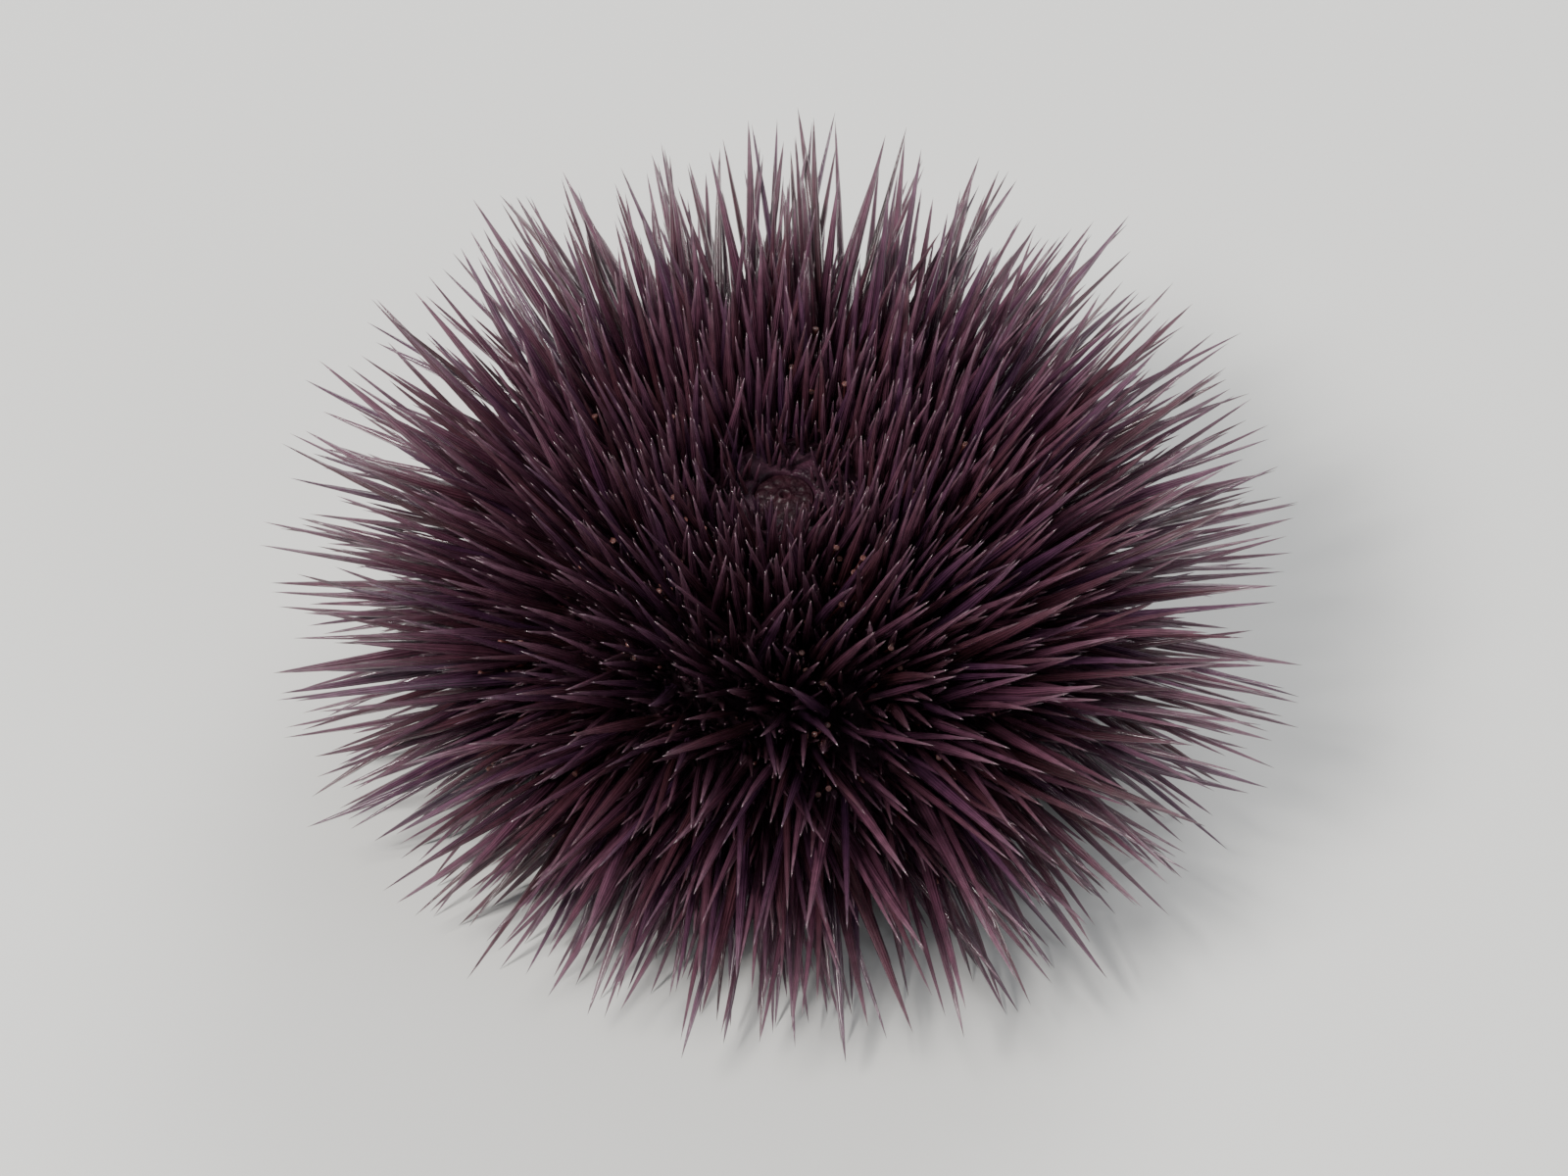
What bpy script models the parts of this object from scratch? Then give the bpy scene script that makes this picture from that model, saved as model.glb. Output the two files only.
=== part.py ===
"""A purple sea urchin, life size, standing on the tips of its lower spines.

Metres, +Z up. The origin is on the floor, under the middle of the shell.
"""

import math
import random

import bmesh
import bpy
from mathutils import Matrix, Vector

MM = 0.001
GAP = 0.3 * MM  # between parts that meet face to face
WELD = 0.001 * MM  # points closer than this are one, and those this near the floor lie on it
TURNING_WELD = 0.01 * MM  # the same for a turned shape's ends on the axis

# The shell, seen from the side: a low dome over a flatter belly
SHELL_RADIUS = 24.0 * MM
DOME_HEIGHT = 15.0 * MM
BELLY_DEPTH = 10.5 * MM
STANCE = 5.5 * MM  # clear height under the shell
WAIST_HEIGHT = STANCE + BELLY_DEPTH  # height of the shell's widest ring
DOME_POWER = 2.15  # 2 is an ellipse, and more is fuller at the shoulder
BELLY_POWER = 2.8
SHELL_ROWS = 12
SHELL_TURNS = 45
OUTLINE_SAMPLES = 240

# Five ambulacra, which carry the tube feet, alternate with five wider interambulacra
RAYS = 5
RAY_ANGLE = 2 * math.pi / RAYS
AMBULACRUM_ANGLE = math.radians(32)
INTERAMBULACRUM_ANGLE = RAY_ANGLE - AMBULACRUM_ANGLE

# The apical disc on the crown, with the periproct in its middle.
# Both outlines run outwards, and their heights are above the shell's top ring
APICAL_RADIUS = 5.6 * MM
PERIPROCT_RADIUS = 2.5 * MM
CROWN_DEPTH = 2.4 * MM  # thickness of the disc, and depth of its seat
DISC_OUTLINE = (
    (PERIPROCT_RADIUS + GAP, 0.25 * MM),
    (APICAL_RADIUS - 0.5 * MM, 0.10 * MM),
    (APICAL_RADIUS, -0.15 * MM),
)
DISC_STEPS = 40
VENT_OUTLINE = (  # the vent's pit, the collar round it, and the skin out to the disc
    (0, -0.10 * MM),
    (0.35 * MM, 0.45 * MM),
    (0.75 * MM, 0.45 * MM),
    (1.20 * MM, 0.05 * MM),
    (PERIPROCT_RADIUS, -0.05 * MM),
)
VENT_STEPS = 24

# Plates on the disc, and smaller ones in a ring round the vent
GENITAL_PLATE_RADIUS = 1.45 * MM
MADREPORITE_RADIUS = 1.75 * MM
OCULAR_PLATE_RADIUS = 0.75 * MM
OCULAR_INSET = 1.1  # middle of an ocular plate from the rim, in its own radii
PLATE_INSET = 0.95  # least that any other plate's middle is from the rim, in its own radii
PLATE_FOOT = 0.10 * MM  # height of the disc where its plates stand
PLATE_SIDES = 6
PLATE_RELIEF = 0.35 * MM
PLATE_TAPER = 0.78  # width of a plate's top against its foot
ANAL_PLATES = 8
ANAL_PLATE_RADIUS = 0.55 * MM
ANAL_PLATE_SIDES = 5
ANAL_RING_RADIUS = 1.75 * MM
ANAL_PLATE_FOOT = -0.10 * MM

# The mouth's membrane, with the tips of the lantern in its middle
MOUTH_RADIUS = 8.0 * MM
LIP_RADIUS = 3.0 * MM
LIP_FOOT = 1.1 * MM  # width of the lip where it leaves the membrane
LIP_EDGE = 0.7 * MM  # width of its free edge
LIP_DROP = 0.8 * MM
MEMBRANE_THICKNESS = 1.4 * MM
MEMBRANE_INSET = 0.7 * MM  # how far the membrane sits above the belly
MEMBRANE_STEPS = 40
MOUTH_SEAT = MEMBRANE_INSET + MEMBRANE_THICKNESS + GAP
BUCCAL_FOOT_RADIUS = 0.55 * MM
BUCCAL_FOOT_LENGTH = 1.9 * MM
BUCCAL_FOOT_TAPER = 0.8  # width at its root against its sucker
BUCCAL_FOOT_SIDES = 6
BUCCAL_RING_RADIUS = 5.6 * MM
BUCCAL_HALF_ANGLE = math.radians(11)  # from the middle of a pair of feet to each of them

# The lantern's end and its teeth. Heights are above the belly's lowest ring
JAW_EDGE_HEIGHT = 0.6 * MM
JAW_TIP_RADIUS = 1.5 * MM
JAW_TIP_HEIGHT = -0.1 * MM
JAW_STEPS = 20
TOOTH_RADIUS = 0.95 * MM
TOOTH_LENGTH = 3.4 * MM
TOOTH_ROOT_HEIGHT = 1.2 * MM
TOOTH_ROOT_OUT = 1.35 * MM  # from the axis
TOOTH_TIP_OUT = 0.25 * MM

# Spines: length by share of the way down the shell, from the crown to the mouth
SPINE_LENGTHS = (
    (0.00, 10.0 * MM),
    (0.12, 14.5 * MM),
    (0.30, 20.5 * MM),
    (0.48, 23.0 * MM),
    (0.66, 19.5 * MM),
    (0.84, 13.0 * MM),
    (1.00, 9.0 * MM),
)
SHORTEST = 0.86  # random share of its full length that a spine has
LONGEST = 1.08
SPINE_RADIUS = 0.64 * MM  # at the root of a spine on the waist
POLE_THINNING = 0.36  # share of its thickness that a spine loses towards crown and mouth
SPINE_SIDES = 4
SPINE_WAIST = 0.55  # share of the length where the taper steepens
SPINE_SWELL = 1.3  # fullness there against a straight taper
AT_WAIST = 0.01  # a point is on the waist within this share of the length
SINK = 1.6 * MM  # how deep a spine's root lies in the shell
FLOOR_REACH = 0.6 * MM  # a spine that would end this close to the floor is long enough to stand on it
BLUNT_END = 0.5  # thickness of a standing spine's end, as a share of its root's
SPLAY = 0.9  # most that a normal under the belly is turned outwards, to spread its spine
BOW = 0.5 * MM  # most that a spine's waist lies above or below its straight line
TIP_ROOM = 0.6  # room between a tip and its sector's sides, as a share of the root's radius
LONG_REACH = 44.6 * MM  # tips that would lie further from the axis are drawn in
REACH_KEPT = 0.3  # share of the excess that they keep

# Columns of spines in one half of a sector: share of the sector's width off its middle,
# rows down the shell, share of full length, first and last share, row step
AMBULACRUM_COLUMNS = (
    (0.26, 20, 1.00, 0.00, 1.00, 1),
    (0.44, 20, 0.82, 0.16, 0.84, 2),
)
INTERAMBULACRUM_COLUMNS = (
    (0.26, 17, 1.00, 0.00, 1.00, 1),
    (0.08, 17, 0.82, 0.14, 0.88, 2),
    (0.43, 17, 0.82, 0.14, 0.88, 2),
)
LEAN = math.radians(8)  # most that a spine leans up or down from its place's normal
SIDE_LEAN = math.radians(15)
STEEPEST = math.radians(88)  # slope of a spine, up or down
EDGE_SHARE = 0.018  # shares left bare beside the crown's and the mouth's seats
ZIGZAG = 0.25  # of a row, between the two halves of a sector
SECONDARY_THINNING = 0.72

# Colours: dark wine purple spines, duller plates and skin, white teeth
SPINE_COLOUR = (0.060, 0.014, 0.032, 1)
PLATE_COLOUR = (0.075, 0.028, 0.048, 1)
SKIN_COLOUR = (0.080, 0.018, 0.024, 1)
TOOTH_COLOUR = (0.710, 0.660, 0.540, 1)


def material(name, colour, roughness):
    made = bpy.data.materials.new(name)
    made.use_nodes = True
    shader = made.node_tree.nodes["Principled BSDF"]
    shader.inputs["Base Color"].default_value = colour
    shader.inputs["Roughness"].default_value = roughness
    shader.inputs["Metallic"].default_value = 0
    return made


def object_from(bm, name, collection):
    """A new object that takes over what bm holds."""
    mesh = bpy.data.meshes.new(name)
    bm.to_mesh(mesh)
    bm.free()
    made = bpy.data.objects.new(name, mesh)
    collection.objects.link(made)
    return made


def apply_modifiers(obj):
    bpy.context.view_layer.update()
    graph = bpy.context.evaluated_depsgraph_get()
    mesh = bpy.data.meshes.new_from_object(obj.evaluated_get(graph))
    obj.modifiers.clear()
    obj.data = mesh


def outline_point(turn):
    """Radius and height of the shell's outline, from the crown at turn 0 to the mouth at turn pi."""
    if turn < math.pi / 2:
        rise, power = DOME_HEIGHT, DOME_POWER
    else:
        rise, power = -BELLY_DEPTH, BELLY_POWER
    radius = SHELL_RADIUS * abs(math.sin(turn)) ** (2 / power)
    height = WAIST_HEIGHT + rise * abs(math.cos(turn)) ** (2 / power)
    return radius, height


def turn_at_radius(radius, above):
    """The turn where the outline has this radius, above or below the waist."""
    power = DOME_POWER if above else BELLY_POWER
    turn = math.asin((radius / SHELL_RADIUS) ** (power / 2))
    return turn if above else math.pi - turn


FIRST_TURN = turn_at_radius(APICAL_RADIUS + GAP, True)
LAST_TURN = turn_at_radius(MOUTH_RADIUS + GAP, False)
CROWN_HEIGHT = outline_point(FIRST_TURN)[1]
BELLY_HEIGHT = outline_point(LAST_TURN)[1]


def measured_outline():
    """Close-set (length so far, radius, height) points down the shell, from crown seat to mouth seat."""
    points = []
    length = 0
    for i in range(OUTLINE_SAMPLES + 1):
        turn = FIRST_TURN + (LAST_TURN - FIRST_TURN) * i / OUTLINE_SAMPLES
        radius, height = outline_point(turn)
        if points:
            length += math.dist((radius, height), points[-1][1:])
        points.append((length, radius, height))
    return points


OUTLINE = measured_outline()


def shell_at(share):
    """Radius, height and outward normal of the shell, at a share of the way down from the crown."""
    length = share * OUTLINE[-1][0]
    at = next((i for i in range(1, len(OUTLINE)) if OUTLINE[i][0] >= length), len(OUTLINE) - 1)
    (l0, r0, z0), (l1, r1, z1) = OUTLINE[at - 1], OUTLINE[at]
    part = (length - l0) / (l1 - l0)
    step = math.hypot(r1 - r0, z1 - z0)
    return r0 + (r1 - r0) * part, z0 + (z1 - z0) * part, (z0 - z1) / step, (r1 - r0) / step


def shell_profile():
    """The shell's outline, with a seat sunk at the crown for the disc and one at the mouth."""
    outer = [shell_at(i / SHELL_ROWS)[:2] for i in range(SHELL_ROWS + 1)]
    crown_seat = CROWN_HEIGHT - CROWN_DEPTH
    mouth_seat = BELLY_HEIGHT + MOUTH_SEAT
    top = [(0, crown_seat), (outer[0][0], crown_seat)]
    bottom = [(outer[-1][0], mouth_seat), (0, mouth_seat)]
    return top + outer + bottom


def turned(name, profile, steps, collection):
    """A profile of (radius, height) points, from the top down its outer side, turned about the axis."""
    bm = bmesh.new()
    points = [bm.verts.new((radius, 0, height)) for radius, height in profile]
    for above, below in zip(points, points[1:]):
        bm.edges.new((above, below))
    obj = object_from(bm, name, collection)
    screw = obj.modifiers.new("turn", "SCREW")
    screw.axis = "Z"
    screw.steps = steps
    screw.render_steps = steps
    screw.use_merge_vertices = True
    screw.merge_threshold = TURNING_WELD
    apply_modifiers(obj)
    return obj


def sector_block(middle, width, collection):
    """A wedge about the axis that passes the shell on all sides, half the gap off its neighbours."""
    far = 3 * SHELL_RADIUS
    height = 4 * SHELL_RADIUS
    tip = GAP / 2 / math.sin(width / 2)
    corners = [(tip, 0)]
    for side in (-1, 1):
        angle = side * width / 2
        corners.append((tip + far * math.cos(angle), far * math.sin(angle)))
    bm = bmesh.new()
    base = bm.faces.new([bm.verts.new((x, y, -SHELL_RADIUS)) for x, y in corners])
    raised = bmesh.ops.extrude_face_region(bm, geom=[base])
    tops = [v for v in raised["geom"] if isinstance(v, bmesh.types.BMVert)]
    bmesh.ops.translate(bm, verts=tops, vec=(0, 0, height))
    bmesh.ops.rotate(bm, verts=bm.verts, matrix=Matrix.Rotation(middle, 3, "Z"))
    bmesh.ops.recalc_face_normals(bm, faces=bm.faces)
    return object_from(bm, "sector_block", collection)


def cut_sector(name, shell, middle, width, collection):
    block = sector_block(middle, width, collection)
    sector = bpy.data.objects.new(name, shell.data.copy())
    collection.objects.link(sector)
    cut = sector.modifiers.new("cut", "BOOLEAN")
    cut.operation = "INTERSECT"
    cut.object = block
    apply_modifiers(sector)
    bpy.data.objects.remove(block)
    return sector


def keep_largest(bm):
    """Deletes all but the largest connected surface of bm."""
    for vert in bm.verts:
        vert.tag = False
    surfaces = []
    for start in bm.verts:
        if start.tag:
            continue
        start.tag = True
        surface = [start]
        for vert in surface:
            for edge in vert.link_edges:
                near = edge.other_vert(vert)
                if not near.tag:
                    near.tag = True
                    surface.append(near)
        surfaces.append(surface)
    largest = max(surfaces, key=len)
    scraps = [vert for surface in surfaces if surface is not largest for vert in surface]
    bmesh.ops.delete(bm, geom=scraps, context="VERTS")


def unite(body, pieces):
    """Fuses pieces into body in one union, and keeps the largest surface."""
    group = bpy.data.collections.new(body.name + "_pieces")
    bpy.context.scene.collection.children.link(group)
    for piece in pieces:
        group.objects.link(piece)
    union = body.modifiers.new("union", "BOOLEAN")
    union.operation = "UNION"
    union.operand_type = "COLLECTION"
    union.collection = group
    apply_modifiers(body)
    for piece in pieces:
        bpy.data.objects.remove(piece)
    bpy.data.collections.remove(group)

    bm = bmesh.new()
    bm.from_mesh(body.data)
    bmesh.ops.triangulate(bm, faces=bm.faces)
    bmesh.ops.remove_doubles(bm, verts=bm.verts, dist=WELD)
    keep_largest(bm)
    for vert in bm.verts:
        if abs(vert.co.z) < WELD:
            vert.co.z = 0
    bm.to_mesh(body.data)
    bm.free()


def length_at(share):
    """A full spine's length at a share of the way down the shell."""
    for (above, long_above), (below, long_below) in zip(SPINE_LENGTHS, SPINE_LENGTHS[1:]):
        if share <= below:
            return long_above + (long_below - long_above) * (share - above) / (below - above)
    return SPINE_LENGTHS[-1][1]


def thickness_at(share):
    return SPINE_RADIUS * (1 - POLE_THINNING * (1 - math.sin(math.pi * share)))


def held_in_sector(point, middle, width, clearance):
    """The point turned about the axis as far as it needs to stay clear of both sides of its sector."""
    radius = math.hypot(point.x, point.y)
    room = width / 2 - math.asin(min(1, (clearance + GAP / 2) / radius))
    off = (math.atan2(point.y, point.x) - middle + math.pi) % (2 * math.pi) - math.pi
    held = middle + max(-room, min(room, off))
    return Vector((radius * math.cos(held), radius * math.sin(held), point.z))


def spine_line(rng, share, azimuth, middle, width, size, radius):
    """Root and tip of a spine that leans at random, in its sector and no lower than the floor."""
    ring, height, out, up = shell_at(share)
    root = held_in_sector(
        Vector((ring * math.cos(azimuth), ring * math.sin(azimuth), height)), middle, width, radius
    )
    azimuth = math.atan2(root.y, root.x)
    if up < 0:
        # none at the mouth and the waist, most halfway between them
        across = (ring - MOUTH_RADIUS) / (SHELL_RADIUS - MOUTH_RADIUS)
        out += SPLAY * 4 * across * (1 - across)
    slope = math.atan2(up, out) + rng.uniform(-LEAN, LEAN)
    slope = max(-STEEPEST, min(STEEPEST, slope))
    side = rng.uniform(-SIDE_LEAN, SIDE_LEAN)
    outward = Vector((math.cos(azimuth), math.sin(azimuth), 0))
    sideways = Vector((-outward.y, outward.x, 0))
    direction = (
        outward * math.cos(slope) * math.cos(side)
        + sideways * math.sin(side)
        + Vector((0, 0, math.sin(slope) * math.cos(side)))
    )
    length = length_at(share) * size * rng.uniform(SHORTEST, LONGEST)
    tip = root + direction * length
    reach = math.hypot(tip.x, tip.y)
    if reach > LONG_REACH:
        kept = LONG_REACH + REACH_KEPT * (reach - LONG_REACH)
        tip = root + (tip - root) * (kept - ring) / (reach - ring)
    if tip.z < FLOOR_REACH:
        tip = root + (tip - root) * root.z / (root.z - tip.z)
        tip.z = 0
    tip = held_in_sector(tip, middle, width, TIP_ROOM * radius)
    sunk = root - (tip - root).normalized() * SINK
    return held_in_sector(sunk, middle, width, radius), tip


def spine(root, tip, radius, bow, collection):
    """A tapering spine with a slight bow, from its sunk root to its point or to a flat on the floor."""
    axis = tip - root
    length = axis.length
    stands = tip.z == 0
    bm = bmesh.new()
    bmesh.ops.create_cone(
        bm,
        cap_ends=True,
        segments=SPINE_SIDES,
        radius1=radius,
        radius2=BLUNT_END * radius,
        depth=length,
    )
    end = [v for v in bm.verts if v.co.z > 0]
    if not stands:
        bmesh.ops.pointmerge(bm, verts=end, merge_co=(0, 0, length / 2))
    waist = length * (SPINE_WAIST - 0.5)
    bmesh.ops.bisect_plane(
        bm,
        geom=list(bm.verts) + list(bm.edges) + list(bm.faces),
        plane_co=(0, 0, waist),
        plane_no=(0, 0, 1),
    )
    turn = axis.to_track_quat("Z", "Y").to_matrix()
    for vert in bm.verts:
        along = vert.co.z / length + 0.5
        at_waist = abs(along - SPINE_WAIST) < AT_WAIST
        if at_waist and not stands:
            vert.co.x *= SPINE_SWELL
            vert.co.y *= SPINE_SWELL
        vert.co = turn @ vert.co + (root + tip) / 2
        if at_waist:
            vert.co.z += bow
        elif stands and along > SPINE_WAIST:
            vert.co -= axis * (vert.co.z / axis.z)
            vert.co.z = 0
    return object_from(bm, "spine", collection)


def spines_of(rng, middle, width, columns, collection):
    made = []
    for offset, rows, size, first, last, step in columns:
        for side in (-1, 1):
            for row in range(0, rows, step):
                share = (row + 0.5 + ZIGZAG * side) / rows
                if not first <= share <= last:
                    continue
                share = EDGE_SHARE + (1 - 2 * EDGE_SHARE) * share
                radius = thickness_at(share)
                if size < 1:
                    radius *= SECONDARY_THINNING
                azimuth = middle + side * offset * width
                root, tip = spine_line(rng, share, azimuth, middle, width, size, radius)
                bow = rng.uniform(-BOW, BOW)
                made.append(spine(root, tip, radius, bow, collection))
    return made


def low_plate(radius, sides, x, y, height, turn, collection):
    """A many-sided plate that stands PLATE_RELIEF above height, with its edge chamfered."""
    depth = 2 * PLATE_RELIEF
    bm = bmesh.new()
    bmesh.ops.create_cone(
        bm,
        cap_ends=True,
        segments=sides,
        radius1=radius,
        radius2=PLATE_TAPER * radius,
        depth=depth,
    )
    bmesh.ops.rotate(bm, verts=bm.verts, matrix=Matrix.Rotation(turn, 3, "Z"))
    bmesh.ops.translate(bm, verts=bm.verts, vec=(x, y, height + PLATE_RELIEF - depth / 2))
    return object_from(bm, "plate", collection)


def apical_disc(collection):
    """Five genital plates, one of them the larger madreporite, alternate with five small oculars."""
    inner = PERIPROCT_RADIUS + GAP
    rim = APICAL_RADIUS
    under = CROWN_HEIGHT - CROWN_DEPTH + GAP
    upper = [(radius, CROWN_HEIGHT + height) for radius, height in DISC_OUTLINE]
    profile = upper + [(rim, under), (inner, under), upper[0]]
    disc = turned("apical_disc", profile, DISC_STEPS, collection)
    foot = CROWN_HEIGHT + PLATE_FOOT
    plates = []
    for ray in range(RAYS):
        genital = MADREPORITE_RADIUS if ray == 0 else GENITAL_PLATE_RADIUS
        for radius, angle, at in (
            (genital, (ray + 0.5) * RAY_ANGLE, inner + GENITAL_PLATE_RADIUS),
            (OCULAR_PLATE_RADIUS, ray * RAY_ANGLE, rim - OCULAR_INSET * OCULAR_PLATE_RADIUS),
        ):
            at = min(at, rim - radius * PLATE_INSET)
            x, y = at * math.cos(angle), at * math.sin(angle)
            plates.append(low_plate(radius, PLATE_SIDES, x, y, foot, angle, collection))
    unite(disc, plates)
    return disc


def periproct(collection):
    """The skin in the middle of the disc, with a ring of small plates round the vent."""
    under = CROWN_HEIGHT - CROWN_DEPTH + GAP
    upper = [(radius, CROWN_HEIGHT + height) for radius, height in VENT_OUTLINE]
    profile = upper + [(PERIPROCT_RADIUS, under), (0, under)]
    vent = turned("periproct", profile, VENT_STEPS, collection)
    foot = CROWN_HEIGHT + ANAL_PLATE_FOOT
    plates = []
    for i in range(ANAL_PLATES):
        angle = i * 2 * math.pi / ANAL_PLATES
        x, y = ANAL_RING_RADIUS * math.cos(angle), ANAL_RING_RADIUS * math.sin(angle)
        plate = low_plate(ANAL_PLATE_RADIUS, ANAL_PLATE_SIDES, x, y, foot, angle, collection)
        plates.append(plate)
    unite(vent, plates)
    return vent


def buccal_foot(angle, under, collection):
    """A short stout tube foot on the mouth's membrane, widest at the sucker on its end."""
    x, y = BUCCAL_RING_RADIUS * math.cos(angle), BUCCAL_RING_RADIUS * math.sin(angle)
    low, high = under - BUCCAL_FOOT_LENGTH, under + MEMBRANE_THICKNESS / 2
    bm = bmesh.new()
    bmesh.ops.create_cone(
        bm,
        cap_ends=True,
        segments=BUCCAL_FOOT_SIDES,
        radius1=BUCCAL_FOOT_RADIUS,
        radius2=BUCCAL_FOOT_TAPER * BUCCAL_FOOT_RADIUS,
        depth=high - low,
    )
    bmesh.ops.translate(bm, verts=bm.verts, vec=(x, y, (low + high) / 2))
    return object_from(bm, "buccal_foot", collection)


def peristome(collection):
    """The mouth's membrane, with a thick lip round the teeth and ten buccal tube feet in pairs."""
    under = BELLY_HEIGHT + MEMBRANE_INSET
    top = under + MEMBRANE_THICKNESS
    profile = [
        (LIP_RADIUS, top),
        (MOUTH_RADIUS, top),
        (MOUTH_RADIUS, under),
        (LIP_RADIUS + LIP_FOOT, under),
        (LIP_RADIUS + LIP_EDGE, under - LIP_DROP),
        (LIP_RADIUS, under - LIP_DROP),
        (LIP_RADIUS, top),
    ]
    membrane = turned("peristome", profile, MEMBRANE_STEPS, collection)
    feet = [
        buccal_foot(ray * RAY_ANGLE + side * BUCCAL_HALF_ANGLE, under, collection)
        for ray in range(RAYS)
        for side in (-1, 1)
    ]
    unite(membrane, feet)
    return membrane


def lantern(collection):
    """The lantern's end in the mouth, with five teeth that close to a point."""
    top = BELLY_HEIGHT + MEMBRANE_INSET + MEMBRANE_THICKNESS
    rim = LIP_RADIUS - GAP
    tip_height = BELLY_HEIGHT + JAW_TIP_HEIGHT
    profile = [
        (0, top),
        (rim, top),
        (rim, BELLY_HEIGHT + JAW_EDGE_HEIGHT),
        (JAW_TIP_RADIUS, tip_height),
        (0, tip_height),
    ]
    jaws = turned("lantern_teeth", profile, JAW_STEPS, collection)
    high = BELLY_HEIGHT + TOOTH_ROOT_HEIGHT
    teeth = []
    for ray in range(RAYS):
        angle = (ray + 0.5) * RAY_ANGLE
        outward = Vector((math.cos(angle), math.sin(angle), 0))
        root = outward * TOOTH_ROOT_OUT + Vector((0, 0, high))
        tip = outward * TOOTH_TIP_OUT + Vector((0, 0, high - TOOTH_LENGTH))
        teeth.append(spine(root, tip, TOOTH_RADIUS, 0, collection))
    unite(jaws, teeth)
    return jaws


def main():
    for obj in list(bpy.data.objects):
        bpy.data.objects.remove(obj)
    animal = bpy.data.collections.new("purple_sea_urchin")
    bpy.context.scene.collection.children.link(animal)
    workshop = bpy.data.collections.new("workshop")
    bpy.context.scene.collection.children.link(workshop)

    shell = turned("shell", shell_profile(), SHELL_TURNS, workshop)
    spiny = []
    for ray in range(RAYS):
        middle = ray * RAY_ANGLE
        for name, at, width, columns in (
            (f"ambulacrum_{ray + 1}", middle, AMBULACRUM_ANGLE, AMBULACRUM_COLUMNS),
            (
                f"interambulacrum_{ray + 1}",
                middle + RAY_ANGLE / 2,
                INTERAMBULACRUM_ANGLE,
                INTERAMBULACRUM_COLUMNS,
            ),
        ):
            sector = cut_sector(name, shell, at, width, workshop)
            rng = random.Random(name)
            unite(sector, spines_of(rng, at, width, columns, workshop))
            spiny.append(sector)
    bpy.data.objects.remove(shell)

    disc, vent = apical_disc(workshop), periproct(workshop)
    membrane, jaws = peristome(workshop), lantern(workshop)
    for made, finish in (
        (spiny, material("spine", SPINE_COLOUR, 0.3)),
        ([disc], material("apical_plate", PLATE_COLOUR, 0.5)),
        ([vent, membrane], material("skin", SKIN_COLOUR, 0.4)),
        ([jaws], material("tooth", TOOTH_COLOUR, 0.25)),
    ):
        for obj in made:
            obj.data.materials.clear()
            obj.data.materials.append(finish)
            workshop.objects.unlink(obj)
            animal.objects.link(obj)


main()
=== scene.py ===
import math
import random
from functools import partial
from itertools import product

import bpy
import numpy as np
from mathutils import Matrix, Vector
from mathutils.kdtree import KDTree


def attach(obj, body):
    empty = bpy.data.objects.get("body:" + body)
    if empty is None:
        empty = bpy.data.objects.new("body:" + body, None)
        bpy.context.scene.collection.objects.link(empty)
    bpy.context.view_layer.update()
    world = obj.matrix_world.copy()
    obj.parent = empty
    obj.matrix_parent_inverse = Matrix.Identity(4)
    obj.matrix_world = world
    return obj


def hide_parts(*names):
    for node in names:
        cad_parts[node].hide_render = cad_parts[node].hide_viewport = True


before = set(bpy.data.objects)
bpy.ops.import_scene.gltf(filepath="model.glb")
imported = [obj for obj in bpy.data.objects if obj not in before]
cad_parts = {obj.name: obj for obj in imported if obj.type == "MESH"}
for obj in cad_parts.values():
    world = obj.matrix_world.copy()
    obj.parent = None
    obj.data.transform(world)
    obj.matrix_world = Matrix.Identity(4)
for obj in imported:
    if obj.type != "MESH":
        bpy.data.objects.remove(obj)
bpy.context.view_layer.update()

# A live purple sea urchin standing on its lower spines. Sizes are in mm.
mm = 0.001
rays = 5
rayAngle = 2 * math.pi / rays


def sRgb(code):
    # "#rrggbb" to the linear colour that Blender's sockets want
    parts = [int(code[i:i + 2], 16) / 255 for i in (1, 3, 5)]
    return [p / 12.92 if p < 0.04045 else ((p + 0.055) / 1.055) ** 2.4 for p in parts] + [1]


def addNode(tree, kind, sockets=None, stops=None, **settings):
    # a node with its settings, inputs and ramp stops; a kind without "Node" is a shader node's,
    # and a node given as an input stands for its first output
    node = tree.nodes.new(kind if "Node" in kind else "ShaderNode" + kind)
    for name, value in settings.items():
        setattr(node, name, value)
    for key, value in (sockets or {}).items():
        if isinstance(value, bpy.types.Node):
            value = value.outputs[0]
        if isinstance(value, bpy.types.NodeSocket):
            tree.links.new(value, node.inputs[key])
        else:
            node.inputs[key].default_value = value
    if stops:
        ramp = node.color_ramp
        while len(ramp.elements) < len(stops):
            ramp.elements.new(1)
        for element, (at, code) in zip(ramp.elements, stops):
            element.position = at
            element.color = sRgb(code)
    return node


def startMaterial(name):
    # a material without nodes, and what adds nodes to it
    made = bpy.data.materials.new(name)
    made.use_nodes = True
    made.node_tree.nodes.clear()
    return made, partial(addNode, made.node_tree)


def finishMaterial(add, colour, bump, values):
    # the Principled shader, with plain numbers set on its own sockets
    shader = add("BsdfPrincipled", {"Base Color": colour, "Normal": bump, **values})
    add("OutputMaterial", {"Surface": shader})


# Calcite spine in a thin wet skin: the water film gives small white glints, the lime under
# it a soft wine purple that pales to rose at the tip, where the skin is thinnest.
spineLook = {
    "stops": [
        # the first stop, near black at the very root, is painted shade where the spine stands in the
        # skin; the paler milled ring above it is the spine's own band
        (0, "#1c1117"), (0.05, "#573c49"), (0.12, "#38202c"), (0.45, "#543042"),
        (0.75, "#724a5c"), (0.93, "#936e7f"), (1, "#b2999f"),
    ],
    "brown": "#452320",
    "violet": "#38204a",
    "ribs": 11,  # the real ones have about twenty, too fine to show
    "ribDepth": 0.06 * mm, "cloud": 1.5 * mm,
    "values": {
        "Roughness": 0.28, "IOR": 1.55, "Coat Weight": 1, "Coat Roughness": 0.04, "Coat IOR": 1.38,
    },
}


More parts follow.
